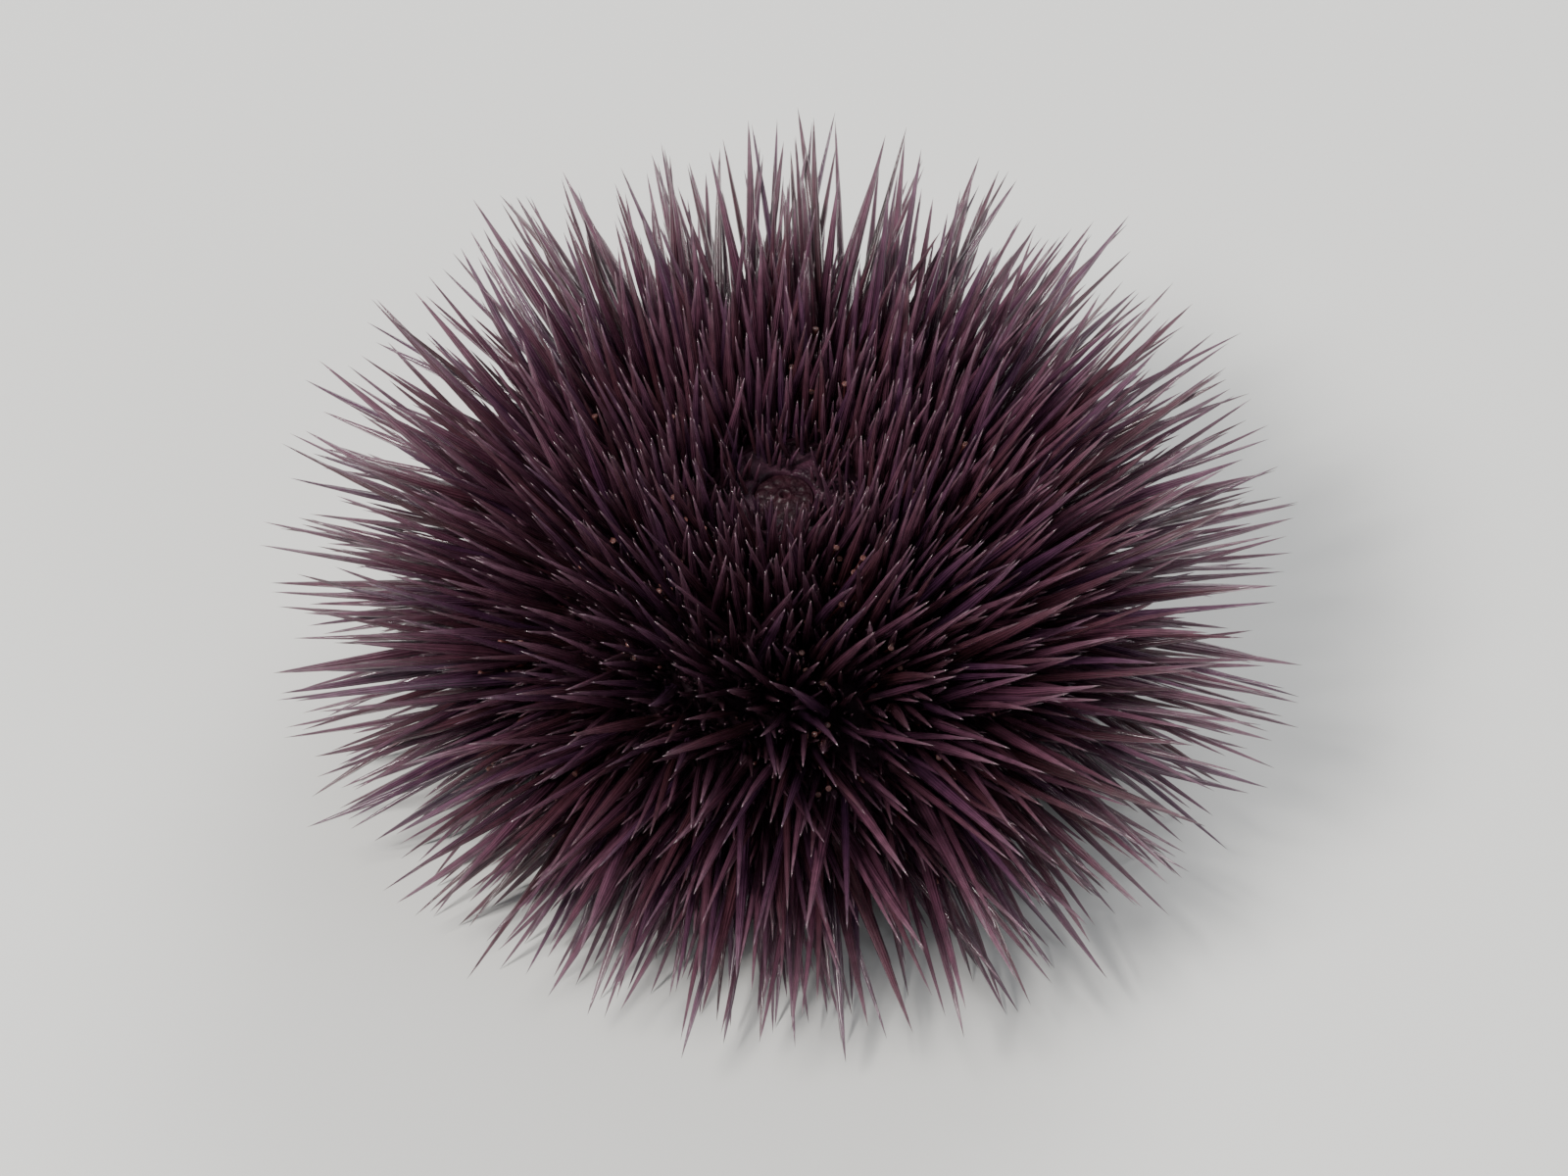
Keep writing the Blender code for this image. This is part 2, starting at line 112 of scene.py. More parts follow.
def makeSpineMaterial():
    made, add = startMaterial("wetCalciteSpine")
    along = add("Attribute", attribute_name="along").outputs["Fac"]
    tone = add("Attribute", attribute_name="tone").outputs["Fac"]
    base = add("ValToRGB", {"Fac": along}, spineLook["stops"])
    # some spines run to brown and some to violet
    toBrown = add("MapRange", {"Value": tone, "From Min": 0.55, "From Max": 1, "To Max": 0.55})
    toViolet = add("MapRange", {"Value": tone, "From Min": 0.35, "From Max": 0, "To Max": 0.4})
    brown = add("Mix", {0: toBrown, 6: base, 7: sRgb(spineLook["brown"])}, data_type="RGBA")
    violet = add("Mix", {
        0: toViolet, 6: brown.outputs[2], 7: sRgb(spineLook["violet"])}, data_type="RGBA")
    place = add("TexCoord").outputs["Object"]
    cloud = add("TexNoise", {
        "Vector": place, "Scale": 1 / spineLook["cloud"], "Detail": 3,
        "Roughness": 0.6})
    cloudy = add("MapRange", {
        "Value": cloud, "From Min": 0.3, "From Max": 0.7, "To Min": 0.7, "To Max": 1.25})
    # ribs run along the spine; the colour is darkened in the furrows between them as painted shade, and
    # lifted a little on the ribs as painted highlight
    uv = add("UVMap", uv_map="spineMap")
    split = add("SeparateXYZ", {0: uv})
    turns = add("Math", {0: split, 1: spineLook["ribs"] * 2 * math.pi}, operation="MULTIPLY")
    wave = add("Math", {0: turns}, operation="SINE")
    paintedFurrowShade = add("MapRange", {"Value": wave, "From Min": -1, "To Min": 0.7, "To Max": 1.1})
    # the random cloudy tone times the painted furrow shade and rib highlight
    cloudAndPaintedShade = add("Math", {0: cloudy, 1: paintedFurrowShade}, operation="MULTIPLY")
    colour = add("VectorMath", {0: violet.outputs[2], 3: cloudAndPaintedShade}, operation="SCALE")
    bump = add("Bump", {"Strength": 0.8, "Distance": spineLook["ribDepth"], "Height": wave})
    finishMaterial(add, colour, bump, spineLook["values"])
    return made


# Skins, plates and membranes are mottled and have a fine grain
mottledLooks = {
    # skin over the shell's plates, damp between the spines: its own dark purple deepened to nearly black
    # as painted shade between the spines, and dull, so that the spines stand out of the dark
    "darkShellSkinAndPaintedShade": {
        "mottle": 3 * mm, "grain": 0.35 * mm, "depth": 0.08 * mm,
        "stops": [(0.3, "#12070d"), (0.5, "#210e18"), (0.72, "#341826")],
        "values": {"Roughness": 0.6, "IOR": 1.4, "Specular IOR Level": 0.12},
    },
    # lime plate under a thin skin: a little greyer than the spines, with a faint shine
    "thinlySkinnedPlate": {
        "mottle": 2 * mm, "grain": 0.25 * mm, "depth": 0.05 * mm,
        "stops": [(0.3, "#190a13"), (0.5, "#2c1522"), (0.72, "#442735")],
        "values": {"Roughness": 0.5, "IOR": 1.5, "Specular IOR Level": 0.22},
    },
    # leathery membrane round mouth and vent, moist: brown purple and mottled
    "moistMembrane": {
        "mottle": 1.3 * mm, "grain": 0.3 * mm, "depth": 0.08 * mm,
        "stops": [(0.3, "#180910"), (0.52, "#29121a"), (0.75, "#3f232b")],
        "values": {
            "Roughness": 0.45, "IOR": 1.4, "Specular IOR Level": 0.25, "Coat Weight": 0.08,
            "Coat Roughness": 0.15, "Coat IOR": 1.33,
        },
    },
    # polished tooth lime: ivory white and smooth, faintly streaked
    "toothCalcite": {
        "mottle": 1.5 * mm, "grain": 0.2 * mm, "depth": 0.01 * mm,
        "stops": [(0.2, "#cdbfa6"), (0.5, "#e2d9c8"), (0.8, "#efebe1")],
        "values": {"Roughness": 0.25, "IOR": 1.6},
    },
}


def makeMottledMaterial(name):
    look = mottledLooks[name]
    made, add = startMaterial(name)
    place = add("TexCoord").outputs["Object"]
    mottle = add("TexNoise", {
        "Vector": place, "Scale": 1 / look["mottle"], "Detail": 5,
        "Roughness": 0.6})
    colour = add("ValToRGB", {"Fac": mottle}, look["stops"])
    grain = add("TexVoronoi", {"Vector": place, "Scale": 1 / look["grain"]})
    bump = add("Bump", {"Strength": 0.7, "Distance": look["depth"], "Height": grain}, invert=True)
    finishMaterial(add, colour, bump, look["values"])
    return made


# Tube foot, muscle under moist skin: a little light goes through, and the sucker is paler
footLook = {
    "stops": [(0, "#34161a"), (0.5, "#4a2125"), (0.88, "#50292b"), (0.96, "#623f3c")],
    "wrinkle": 0.3 * mm, "depth": 0.06 * mm,
    "values": {
        "Roughness": 0.4, "IOR": 1.38, "Subsurface Weight": 0.12,
        "Subsurface Radius": (0.6 * mm, 0.25 * mm, 0.2 * mm), "Subsurface Scale": 1,
        "Coat Weight": 0.3, "Coat Roughness": 0.1, "Coat IOR": 1.33,
    },
}


def makeFootMaterial():
    made, add = startMaterial("moistTubeFoot")
    along = add("Attribute", attribute_name="along").outputs["Fac"]
    base = add("ValToRGB", {"Fac": along}, footLook["stops"])
    place = add("TexCoord").outputs["Object"]
    wrinkles = add("TexNoise", {"Vector": place, "Scale": 1 / footLook["wrinkle"]})
    bump = add("Bump", {"Strength": 0.5, "Distance": footLook["depth"], "Height": wrinkles})
    finishMaterial(add, base, bump, footLook["values"])
    return made


spineMaterial = makeSpineMaterial()
footMaterial = makeFootMaterial()
mottled = {name: makeMottledMaterial(name) for name in mottledLooks}
print("materials made")

# The shell's outline, as in the solids
shell = {
    "radius": 24 * mm, "waistHeight": 16 * mm,
    "dome": (15 * mm, 2.15),  # how far it rises over the waist, and the power of its curve
    "belly": (-10.5 * mm, 2.8),
    "crown": (5.9 * mm, 2.4 * mm),  # radius of the opening, and depth of its seat
    "mouth": (8.3 * mm, 2.4 * mm), "samples": 240, "edgeShare": 0.018, "zigzag": 0.25,
}

# Its two kinds of sector. "middle" is in rays. Columns of long and secondary spines, in each half:
# share of its width off the middle, share of the full length, first and last share of the way
# down, and every how many rows. Slimmer ones in between: share of the width and of the length,
# and shift in rows.
sectors = {
    "ambulacrum": {
        "middle": 0, "width": math.radians(32), "rows": 20,
        "columns": [(0.26, 1, 0, 1, 1), (0.44, 0.82, 0.16, 0.84, 2)],
        "fill": [(0.5, 0.97, 0.5), (0.52, 0.93, 0), (0.14, 0.93, 0.3), (0.35, 0.95, 0.8),
                 (0.1, 0.55, 0.5), (0.36, 0.62, 0.5), (0.18, 0.42, 0), (0.45, 0.45, 0)],
    },
    "interambulacrum": {
        "middle": 0.5, "width": math.radians(40), "rows": 17,
        "columns": [(0.26, 1, 0, 1, 1), (0.08, 0.82, 0.14, 0.88, 2), (0.43, 0.82, 0.14, 0.88, 2)],
        "fill": [(0.02, 0.92, 0.5), (0.17, 0.95, 0), (0.36, 0.95, 0.5), (0.16, 0.66, 0.5),
                 (0.35, 0.7, 0.5), (0.03, 0.5, 0), (0.38, 0.45, 0), (0.2, 0.36, 0),
                 (0.47, 0.6, 0.2), (0.12, 0.5, 0.3)],
    },
}


def measureOutline():
    # length from the crown, radius and height at even turns from the crown to the mouth
    first, last = (math.asin((shell[end][0] / shell["radius"]) ** (shell[part][1] / 2))
                   for end, part in (("crown", "dome"), ("mouth", "belly")))
    last = math.pi - last
    points = []
    length = 0
    for i in range(shell["samples"] + 1):
        turn = first + (last - first) * i / shell["samples"]
        rise, power = shell["dome" if turn < math.pi / 2 else "belly"]
        radius = shell["radius"] * abs(math.sin(turn)) ** (2 / power)
        height = shell["waistHeight"] + rise * abs(math.cos(turn)) ** (2 / power)
        if points:
            length += math.dist((radius, height), points[-1][1:])
        points.append((length, radius, height))
    return points


outline = measureOutline()
outlineLength = outline[-1][0]
crownHeight = outline[0][2]
bellyHeight = outline[-1][2]
lengths, radii, heights = np.array(outline).T
areas = np.append(0, np.cumsum((radii[1:] + radii[:-1]) / 2 * np.diff(lengths)))


def shellAt(share):
    # radius, height and outward normal at a share of the way down from the crown
    length = share * outlineLength
    at = next((i for i in range(1, len(outline)) if outline[i][0] >= length), len(outline) - 1)
    (l0, r0, z0), (l1, r1, z1) = outline[at - 1], outline[at]
    part = (length - l0) / (l1 - l0)
    step = math.hypot(r1 - r0, z1 - z0)
    return r0 + (r1 - r0) * part, z0 + (z1 - z0) * part, (z0 - z1) / step, (r1 - r0) / step


def outlineAt(length):
    # radius and height at lengths down the outline
    return np.array([np.interp(length, lengths, values) for values in (radii, heights)])


def heading(azimuth):
    return Vector((math.cos(azimuth), math.sin(azimuth), 0))


def polar(azimuth, radius, height):
    return heading(azimuth) * radius + Vector((0, 0, height))


def onShell(share, azimuth):
    # point and normal on the shell
    radius, height, out, up = shellAt(share)
    return polar(azimuth, radius, height), polar(azimuth, out, up)


# The bake map is the shell unwrapped flat, the crown in the middle and the mouth at the rim
bakeMap = {"crown": 0.06, "span": 0.42, "patch": 0.003}


def onBakeMap(share, azimuth):
    return Vector((0.5, 0.5, 0)) + heading(azimuth) * (bakeMap["crown"] + bakeMap["span"] * share)


def ringAt(radius, height, turns):
    # points round the axis; radius and height are numbers or one value per point
    turn = np.arange(turns) * 2 * math.pi / turns
    return np.column_stack((radius * np.cos(turn), radius * np.sin(turn), height * np.ones(turns)))


def reliefRings(kind, start, end, level, relief, fadeIn=0, fadeOut=0):
    # rings from one radius to another; their relief fades in and out over shares of the way
    rings = []
    for i in range(kind["rows"] + 1):
        part = i / kind["rows"]
        radius = start + (end - start) * part
        ring = ringAt(radius, level, kind["turns"] if radius else 1)
        fade = min(1, part / fadeIn if fadeIn else 1, (1 - part) / fadeOut if fadeOut else 1)
        ring[:, 2] += fade * relief(ring[:, 0], ring[:, 1])
        rings.append(ring)
    return rings


def knob(x, y, spot, wide):
    # a flat-topped bump of height 1 round a spot
    return np.exp(-((np.hypot(x - spot.x, y - spot.y) / wide) ** 4))


def ridge(away, wide):
    # a rounded ridge of height 1 where away is 0
    return np.exp(-((away / wide) ** 2))


def addToScene(name, data):
    made = bpy.data.objects.new(name, data)
    bpy.context.scene.collection.objects.link(made)
    return made


def addObject(name, points, faces, finish=None, smooth=True):
    mesh = bpy.data.meshes.new(name)
    mesh.from_pydata(points, [], faces)
    mesh.polygons.foreach_set("use_smooth", [smooth] * len(mesh.polygons))
    if finish:
        mesh.materials.append(finish)
    return addToScene(name, mesh)


def joinRings(name, rings, finish, joined=False):
    # closed surface through rings of points, top to bottom; a ring of one point is a pole
    starts = np.cumsum([0] + [len(ring) for ring in rings]).tolist()
    pairs = list(zip(range(len(rings)), range(1, len(rings))))
    if joined:
        pairs.append((len(rings) - 1, 0))
    faces = []
    for upper, lower in pairs:
        a, b = starts[upper], starts[lower]
        turns = max(len(rings[upper]), len(rings[lower]))
        for j in range(turns):
            k = (j + 1) % turns
            if len(rings[upper]) == 1:
                faces.append((a, b + j, b + k))
            elif len(rings[lower]) == 1:
                faces.append((a + j, b, a + k))
            else:
                faces.append((a + j, b + j, b + k, a + k))
    return addObject(name, np.vstack(rings).tolist(), faces, finish)


# The shell's skin: sutures between the plates, a boss under each long spine, sunken ends
skin = {
    "rows": 176, "turns": 460,
    "suture": (0.14 * mm, 0.22 * mm, 0.35 * mm),  # depth, width and zigzag
    "boss": (0.45 * mm, 1 * mm, 0.75),  # height, radius, and share of it at which its side falls
    "bossSize": (0.55, 0.45),  # share of its radius at the ends, and what the waist adds
    "ring": (0.1 * mm, 1.25, 0.3),  # depth of the ring round a boss, its place and width in radii
    "bossColumn": 0.26, "endFade": 0.02,
}


def skinRelief(share, radius, azimuth):
    # height of the skin over the plain outline, for a whole ring at once
    plain = (share - shell["edgeShare"]) / (1 - 2 * shell["edgeShare"])
    (deep, wide, bent), (high, full, edge) = skin["suture"], skin["boss"]
    (least, more), (sunk, place, broad) = skin["bossSize"], skin["ring"]
    size = full * (least + more * math.sin(math.pi * share))
    relief = np.zeros_like(azimuth)
    for sector in sectors.values():
        width, rows = sector["width"], sector["rows"]
        off = (azimuth - sector["middle"] * rayAngle + rayAngle / 2) % rayAngle - rayAngle / 2
        row = plain * rows - 0.5 - shell["zigzag"] * np.sign(off)
        part = row - np.round(row)
        plateHeight = outlineLength / rows
        across = np.abs(off) * radius
        toMiddle = np.abs(across - bent * np.abs(part) * 2)
        toSide = (width / 2 - np.abs(off)) * radius
        toRow = (0.5 - np.abs(part)) * plateHeight
        nearest = np.minimum(np.minimum(toMiddle, toSide), toRow)
        away = np.hypot(across - skin["bossColumn"] * width * radius, part * plateHeight)
        boss = high * np.exp(-((away / (edge * size)) ** 4))
        whole = boss - deep * ridge(nearest, wide) - sunk * ridge(away - place * size, broad * size)
        relief = np.where(np.abs(off) <= width / 2, whole, relief)
    return relief * min(1, min(share, 1 - share) / skin["endFade"])


def makeShellSkin():
    turns = skin["turns"]
    azimuth = np.arange(turns) * 2 * math.pi / turns
    (crownRadius, crownDepth), (mouthRadius, mouthDepth) = shell["crown"], shell["mouth"]
    crownSeat, mouthSeat = crownHeight - crownDepth, bellyHeight + mouthDepth
    rings = [ringAt(0, crownSeat, 1)]
    for part in (0, 0.5):
        rings.append(ringAt(crownRadius, crownSeat + part * crownDepth, turns))
    for i in range(skin["rows"] + 1):
        share = i / skin["rows"]
        radius, height, out, up = shellAt(share)
        relief = skinRelief(share, radius, azimuth)
        rings.append(ringAt(radius + relief * out, height + relief * up, turns))
    for part in (0.5, 0):
        rings.append(ringAt(mouthRadius, mouthSeat - part * mouthDepth, turns))
    rings.append(ringAt(0, mouthSeat, 1))
    return joinRings("shellSkin", rings, mottled["darkShellSkinAndPaintedShade"])


shellSkin = makeShellSkin()
print("shell skin made", len(shellSkin.data.polygons), "faces")

# Shapes that repeat, each 1 high: sides, then share of the height and radius of each ring.
# A radius of 0 is a point, and an end without one is capped flat.
unitProfiles = {
    # foot, milled ring and neck, then an even taper to a sharp tip
    "longSpine": (8, [(0, 0.62), (0.034, 1.16), (0.052, 0.84), (0.13, 0.97), (0.45, 0.78),
                      (0.75, 0.46), (0.93, 0.17), (1, 0)]),
    "shortSpine": (6, [(0, 0.7), (0.06, 1.15), (0.1, 0.85), (0.35, 0.94), (0.68, 0.62),
                       (0.92, 0.25), (1, 0)]),
    "fineSpine": (5, [(0, 0.8), (0.1, 1.1), (0.5, 0.8), (0.85, 0.42), (1, 0)]),
    "tubercle": (8, [(0, 1), (0.35, 0.86), (0.6, 0.5), (0.7, 0.42), (0.84, 0.5), (1, 0)]),
    "tubeFoot": (8, [(0, 1.2), (0.1, 0.8), (0.45, 0.6), (0.88, 0.5), (0.95, 1.35), (0.98, 1.3),
                     (0.96, 0.5)]),
    "pedicellaria": (5, [(0, 0.45), (0.1, 0.3), (0.62, 0.28), (0.72, 0.85), (0.84, 1),
                         (1, 0)]),
}


def makeUnit(name):
    sides, profile = unitProfiles[name]
    points, faces, maps, starts = [], [], [], []
    for along, radius in profile:
        starts.append(len(points))
        points.extend(ringAt(radius, along, sides if radius else 1).tolist())
    lows = [along for along, radius in profile]
    for lower, upper, low, (high, radius) in zip(starts, starts[1:], lows, profile[1:]):
        for j in range(sides):
            k = (j + 1) % sides
            u, v = j / sides, (j + 1) / sides
            if radius:
                faces.append((lower + j, lower + k, upper + k, upper + j))
                maps.extend([(u, low), (v, low), (v, high), (u, high)])
            else:
                faces.append((lower + j, lower + k, upper))
                maps.extend([(u, low), (v, low), ((u + v) / 2, high)])
    # caps: their patch on the map lies just beyond the sides' patch
    thin = 0.05
    capMap = [(0.5 + x / 2, thin * y) for x, y, z in ringAt(1, 0, sides).tolist()]
    faces.append(tuple(reversed(range(sides))))
    maps.extend((u, v - thin) for u, v in reversed(capMap))
    if profile[-1][1]:
        faces.append(tuple(starts[-1] + j for j in range(sides)))
        maps.extend((u, v + 1 + thin) for u, v in capMap)
    made = addObject(name + "Unit", points, faces)
    bpy.context.scene.collection.objects.unlink(made)
    alongs = [point[2] for point in points]
    made.data.attributes.new("along", "FLOAT", "POINT").data.foreach_set("value", alongs)
    layer = made.data.uv_layers.new(name="spineMap")
    layer.uv.foreach_set("vector", [value for pair in maps for value in pair])
    return made


units = {name: makeUnit(name) for name in unitProfiles}


def makeCoatTree():
    # a unit shape on each root point, aimed, sized, bent and mapped
    tree = bpy.data.node_groups.new("coat", "GeometryNodeTree")
    for label, kind in (("Roots", "Geometry"), ("Unit", "Object"), ("Patch", "Float"),
                        ("Finish", "Material")):
        tree.interface.new_socket(label, in_out="INPUT", socket_type="NodeSocket" + kind)
    tree.interface.new_socket("Coat", in_out="OUTPUT", socket_type="NodeSocketGeometry")
    add = partial(addNode, tree)
    given = add("NodeGroupInput").outputs
    read = {name: add("GeometryNodeInputNamedAttribute", {"Name": name},
                          data_type="FLOAT" if name == "along" else "FLOAT_VECTOR")
            for name in ("aim", "size", "along", "bow", "spineMap", "rootUv")}
    unit = add("GeometryNodeObjectInfo", {"Object": given["Unit"]})
    turn = add("FunctionNodeAlignRotationToVector", {"Vector": read["aim"]}, axis="Z")
    stand = add("GeometryNodeInstanceOnPoints", {
        "Points": given["Roots"], "Instance": unit.outputs["Geometry"], "Rotation": turn,
        "Scale": read["size"]})
    real = add("GeometryNodeRealizeInstances", {0: stand})
    # bend: nothing at the root and the tip, all of it in the middle
    rest = add("Math", {0: 4, 1: read["along"]}, operation="MULTIPLY")
    square = add("Math", {0: rest, 1: read["along"]}, operation="MULTIPLY")
    hump = add("Math", {0: rest, 1: square}, operation="SUBTRACT")
    shift = add("VectorMath", {0: read["bow"], 3: hump}, operation="SCALE")
    bent = add("GeometryNodeSetPosition", {0: real, "Offset": shift})
    # bake map: each one's patch lies at its root's place
    centred = add("VectorMath", {0: read["spineMap"], 1: (0.5, 0.5, 0)}, operation="SUBTRACT")
    small = add("VectorMath", {0: centred, 3: given["Patch"]}, operation="SCALE")
    patch = add("VectorMath", {0: small, 1: read["rootUv"]}, operation="ADD")
    mapped = add("GeometryNodeStoreNamedAttribute", {
        0: bent, "Name": "OFBake", "Value": patch},
        data_type="FLOAT2", domain="CORNER")
    done = add("GeometryNodeSetMaterial", {0: mapped, "Material": given["Finish"]})
    add("NodeGroupOutput", {0: done})
    return tree


coatTree = makeCoatTree()
carried = ("aim", "size", "bow", "rootUv")  # what the tree reads from each root


def grow(name, roots, unit, finish):
    # roots become loose points that carry what the tree reads, and the result is a plain mesh
    holder = addObject(name + "Roots", [root["at"] for root in roots], [])
    for key in carried:
        layer = holder.data.attributes.new(key, "FLOAT_VECTOR", "POINT")
        layer.data.foreach_set("vector", [part for root in roots for part in root[key]])
    layer = holder.data.attributes.new("tone", "FLOAT", "POINT")
    layer.data.foreach_set("value", [root["tone"] for root in roots])
    modifier = holder.modifiers.new("coat", "NODES")
    modifier.node_group = coatTree
    values = {"Unit": units[unit], "Patch": bakeMap["patch"], "Finish": finish}
    for item in coatTree.interface.items_tree:
        if item.in_out == "INPUT" and item.name in values:
            modifier[item.identifier] = values[item.name]
    bpy.context.view_layer.update()
    grown = holder.evaluated_get(bpy.context.evaluated_depsgraph_get())
    mesh = bpy.data.meshes.new_from_object(grown)
    bpy.data.objects.remove(holder)
    mesh.name = name
    mesh.materials.pop(index=0)  # the unit shape's own empty slot
    for extra in carried:
        if extra in mesh.attributes:
            mesh.attributes.remove(mesh.attributes[extra])
    mesh.polygons.foreach_set("use_smooth", [True] * len(mesh.polygons))
    print(name, len(roots), "of them,", len(mesh.polygons), "faces")
    return addToScene(name, mesh)


straight = (0, 0, 0)
middleTone = 0.5


def newRoot(start, tip, radius, bow, tone, place, gives=0, slides=False):
    # gives: how much it gives way to others; slides: whether its root may move over the shell
    axis = tip - start
    return {"at": start, "aim": axis.normalized(), "size": (radius, radius, axis.length), "bow": bow,
            "tone": tone, "rootUv": onBakeMap(*place), "place": place, "gives": gives,
            "slides": slides}


def randomVector(rng, most):
    return Vector([rng.uniform(-most, most) for part in range(3)])


# The long and the secondary spines repeat the solids' rule and seeds
spines = {
    "lengths": [(0, 10 * mm), (0.12, 14.5 * mm), (0.3, 20.5 * mm), (0.48, 23 * mm),
                (0.66, 19.5 * mm), (0.84, 13 * mm), (1, 9 * mm)],
    "radius": 0.64 * mm,
    "long": (1, 0.75 * mm),  # share of that radius, and height of the foot, on its tubercle
    "secondary": (0.72, 0.35 * mm),
    "tubercle": (0.1, 0.15 * mm, 1.5),  # mm sunk, up into its spine, radius in the spine's own
    "poleThinning": 0.36,
    "lean": (math.radians(8), math.radians(15)),  # up or down, and to the sides
    "steepest": math.radians(88), "splay": 0.9, "bow": (0.5 * mm, 0.2 * mm),
    "played": (0.86, 1.08),  # random share of its full length that a spine has
    "reach": (44.6 * mm, 0.3),  # of a tip from the axis, and the share kept of what is beyond
    "floorReach": 0.6 * mm, "gap": 0.3 * mm,
    "tipPlay": math.radians(6),  # how far over its sector's sides a tip may lean, both together
    "tipRoom": 0.6,  # room between a tip and its sector's sides, in the root's radii
    "mouthEdge": 8 * mm,
}

# Slimmer ones fill in between them
fill = {
    "radius": 0.34 * mm,
    "thickness": (0.75, 0.4),  # its share for every one, and for a full length
    "bow": 0.12 * mm, "played": (0.8, 1.15), "longest": 0.98,
    "shift": 0.25,  # rows
    "jog": (0.03, 0.2),  # share of the width, and of a row
    "slimFrom": 0.8,  # share of the length from which they count as slim spines, not as short ones
}


def lengthAt(share):
    table = spines["lengths"]
    for (above, longAbove), (below, longBelow) in zip(table, table[1:]):
        if share <= below:
            return longAbove + (longBelow - longAbove) * (share - above) / (below - above)
    return table[-1][1]


def thicknessAt(share):
    return spines["radius"] * (1 - spines["poleThinning"] * (1 - math.sin(math.pi * share)))


def heldInSector(point, middle, width, clearance):
    # turned about the axis as far as it needs to stay clear of its sector's sides
    radius = math.hypot(point.x, point.y)
    room = width / 2 - math.asin(min(1, (clearance + spines["gap"] / 2) / radius))
    off = (math.atan2(point.y, point.x) - middle + math.pi) % (2 * math.pi) - math.pi
    return polar(middle + max(-room, min(room, off)), radius, point.z)


def spineLine(rng, share, azimuth, middle, width, size, radius):
    # root, tip and normal of a spine that leans at random and ends on or above the floor
    ring, height, out, up = shellAt(share)
    root = heldInSector(polar(azimuth, ring, height), middle, width, radius)
    azimuth = math.atan2(root.y, root.x)
    outward = heading(azimuth)
    normal = polar(azimuth, out, up)
    if up < 0:
        across = (ring - spines["mouthEdge"]) / (shell["radius"] - spines["mouthEdge"])
        out += spines["splay"] * 4 * across * (1 - across)
    lean, sideLean = spines["lean"]
    slope = math.atan2(up, out) + rng.uniform(-lean, lean)
    slope = max(-spines["steepest"], min(spines["steepest"], slope))
    side = rng.uniform(-sideLean, sideLean)
    sideways = Vector((-outward.y, outward.x, 0))
    direction = (outward * math.cos(slope) * math.cos(side) + sideways * math.sin(side)
                 + Vector((0, 0, math.sin(slope) * math.cos(side))))
    tip = root + direction * lengthAt(share) * size * rng.uniform(*spines["played"])
    reach, (free, kept) = math.hypot(tip.x, tip.y), spines["reach"]
    if reach > free:
        tip = root + (tip - root) * (free + kept * (reach - free) - ring) / (reach - ring)
    if tip.z < spines["floorReach"]:
        tip = root + (tip - root) * root.z / (root.z - tip.z)
        tip.z = 0
    tip = heldInSector(tip, middle, width + spines["tipPlay"], spines["tipRoom"] * radius)
    return root, tip, normal, (share, azimuth)


# What would pass through its neighbours is turned away from them, and the slim ones' roots slide
parting = {
    "rounds": 120,
    "near": 8 * mm,  # two with roots further apart than this don't meet
    "heeded": 2.8 * mm,  # nor do two whose lines start out this far from one another
    "room": 0.2 * mm,  # left clear between two of them
    "firm": 0.04,  # how much a long or a secondary spine gives way, against 1 for a slim one
    "fine": 3,  # the same for the finest spines, the pincers and the tube feet
    "pull": 0.5,  # share of the overlap that one round takes away
    "sink": 0.12 * mm,  # how deep a sliding root stands in the skin
    "low": 0.3 * mm,  # least height of a tip that doesn't stand
    "step": 0.3 * mm,  # along the outline, for its slope
    "ends": (0.02, 0.98), "samples": 20,
}


def dots(first, second):
    return np.einsum("ij,ij->i", first, second)


def closestShares(start, axis, i, j):
    # where along each of two spines they come closest
    offset = start[i] - start[j]
    ii, ij, jj = dots(axis[i], axis[i]), dots(axis[i], axis[j]), dots(axis[j], axis[j])
    oi, oj = dots(axis[i], offset), dots(axis[j], offset)
    first = np.clip((ij * oj - jj * oi) / np.maximum(ii * jj - ij * ij, 1e-9 * ii * jj), 0, 1)
    second = np.clip((ij * first + oj) / jj, 0, 1)
    return np.clip((ij * second - oi) / ii, 0, 1), second


def spineGaps(start, axis, bow, i, j):
    # the closest shares of each pair, and the way from the second spine to the first there
    along = closestShares(start, axis, i, j)
    first, second = (start[k] + axis[k] * part[:, None] + bow[k] * (4 * part * (1 - part))[:, None]
                     for k, part in zip((i, j), along))
    apart = first - second
    return along, apart, np.maximum(np.linalg.norm(apart, axis=1), 1e-9)


def pairsNear(start):
    tree = KDTree(len(start))
    for index, point in enumerate(start):
        tree.insert(point, index)
    tree.balance()
    return np.array([(index, other) for index, point in enumerate(start)
                     for spot, other, away in tree.find_range(point, parting["near"])
                     if index < other]).T


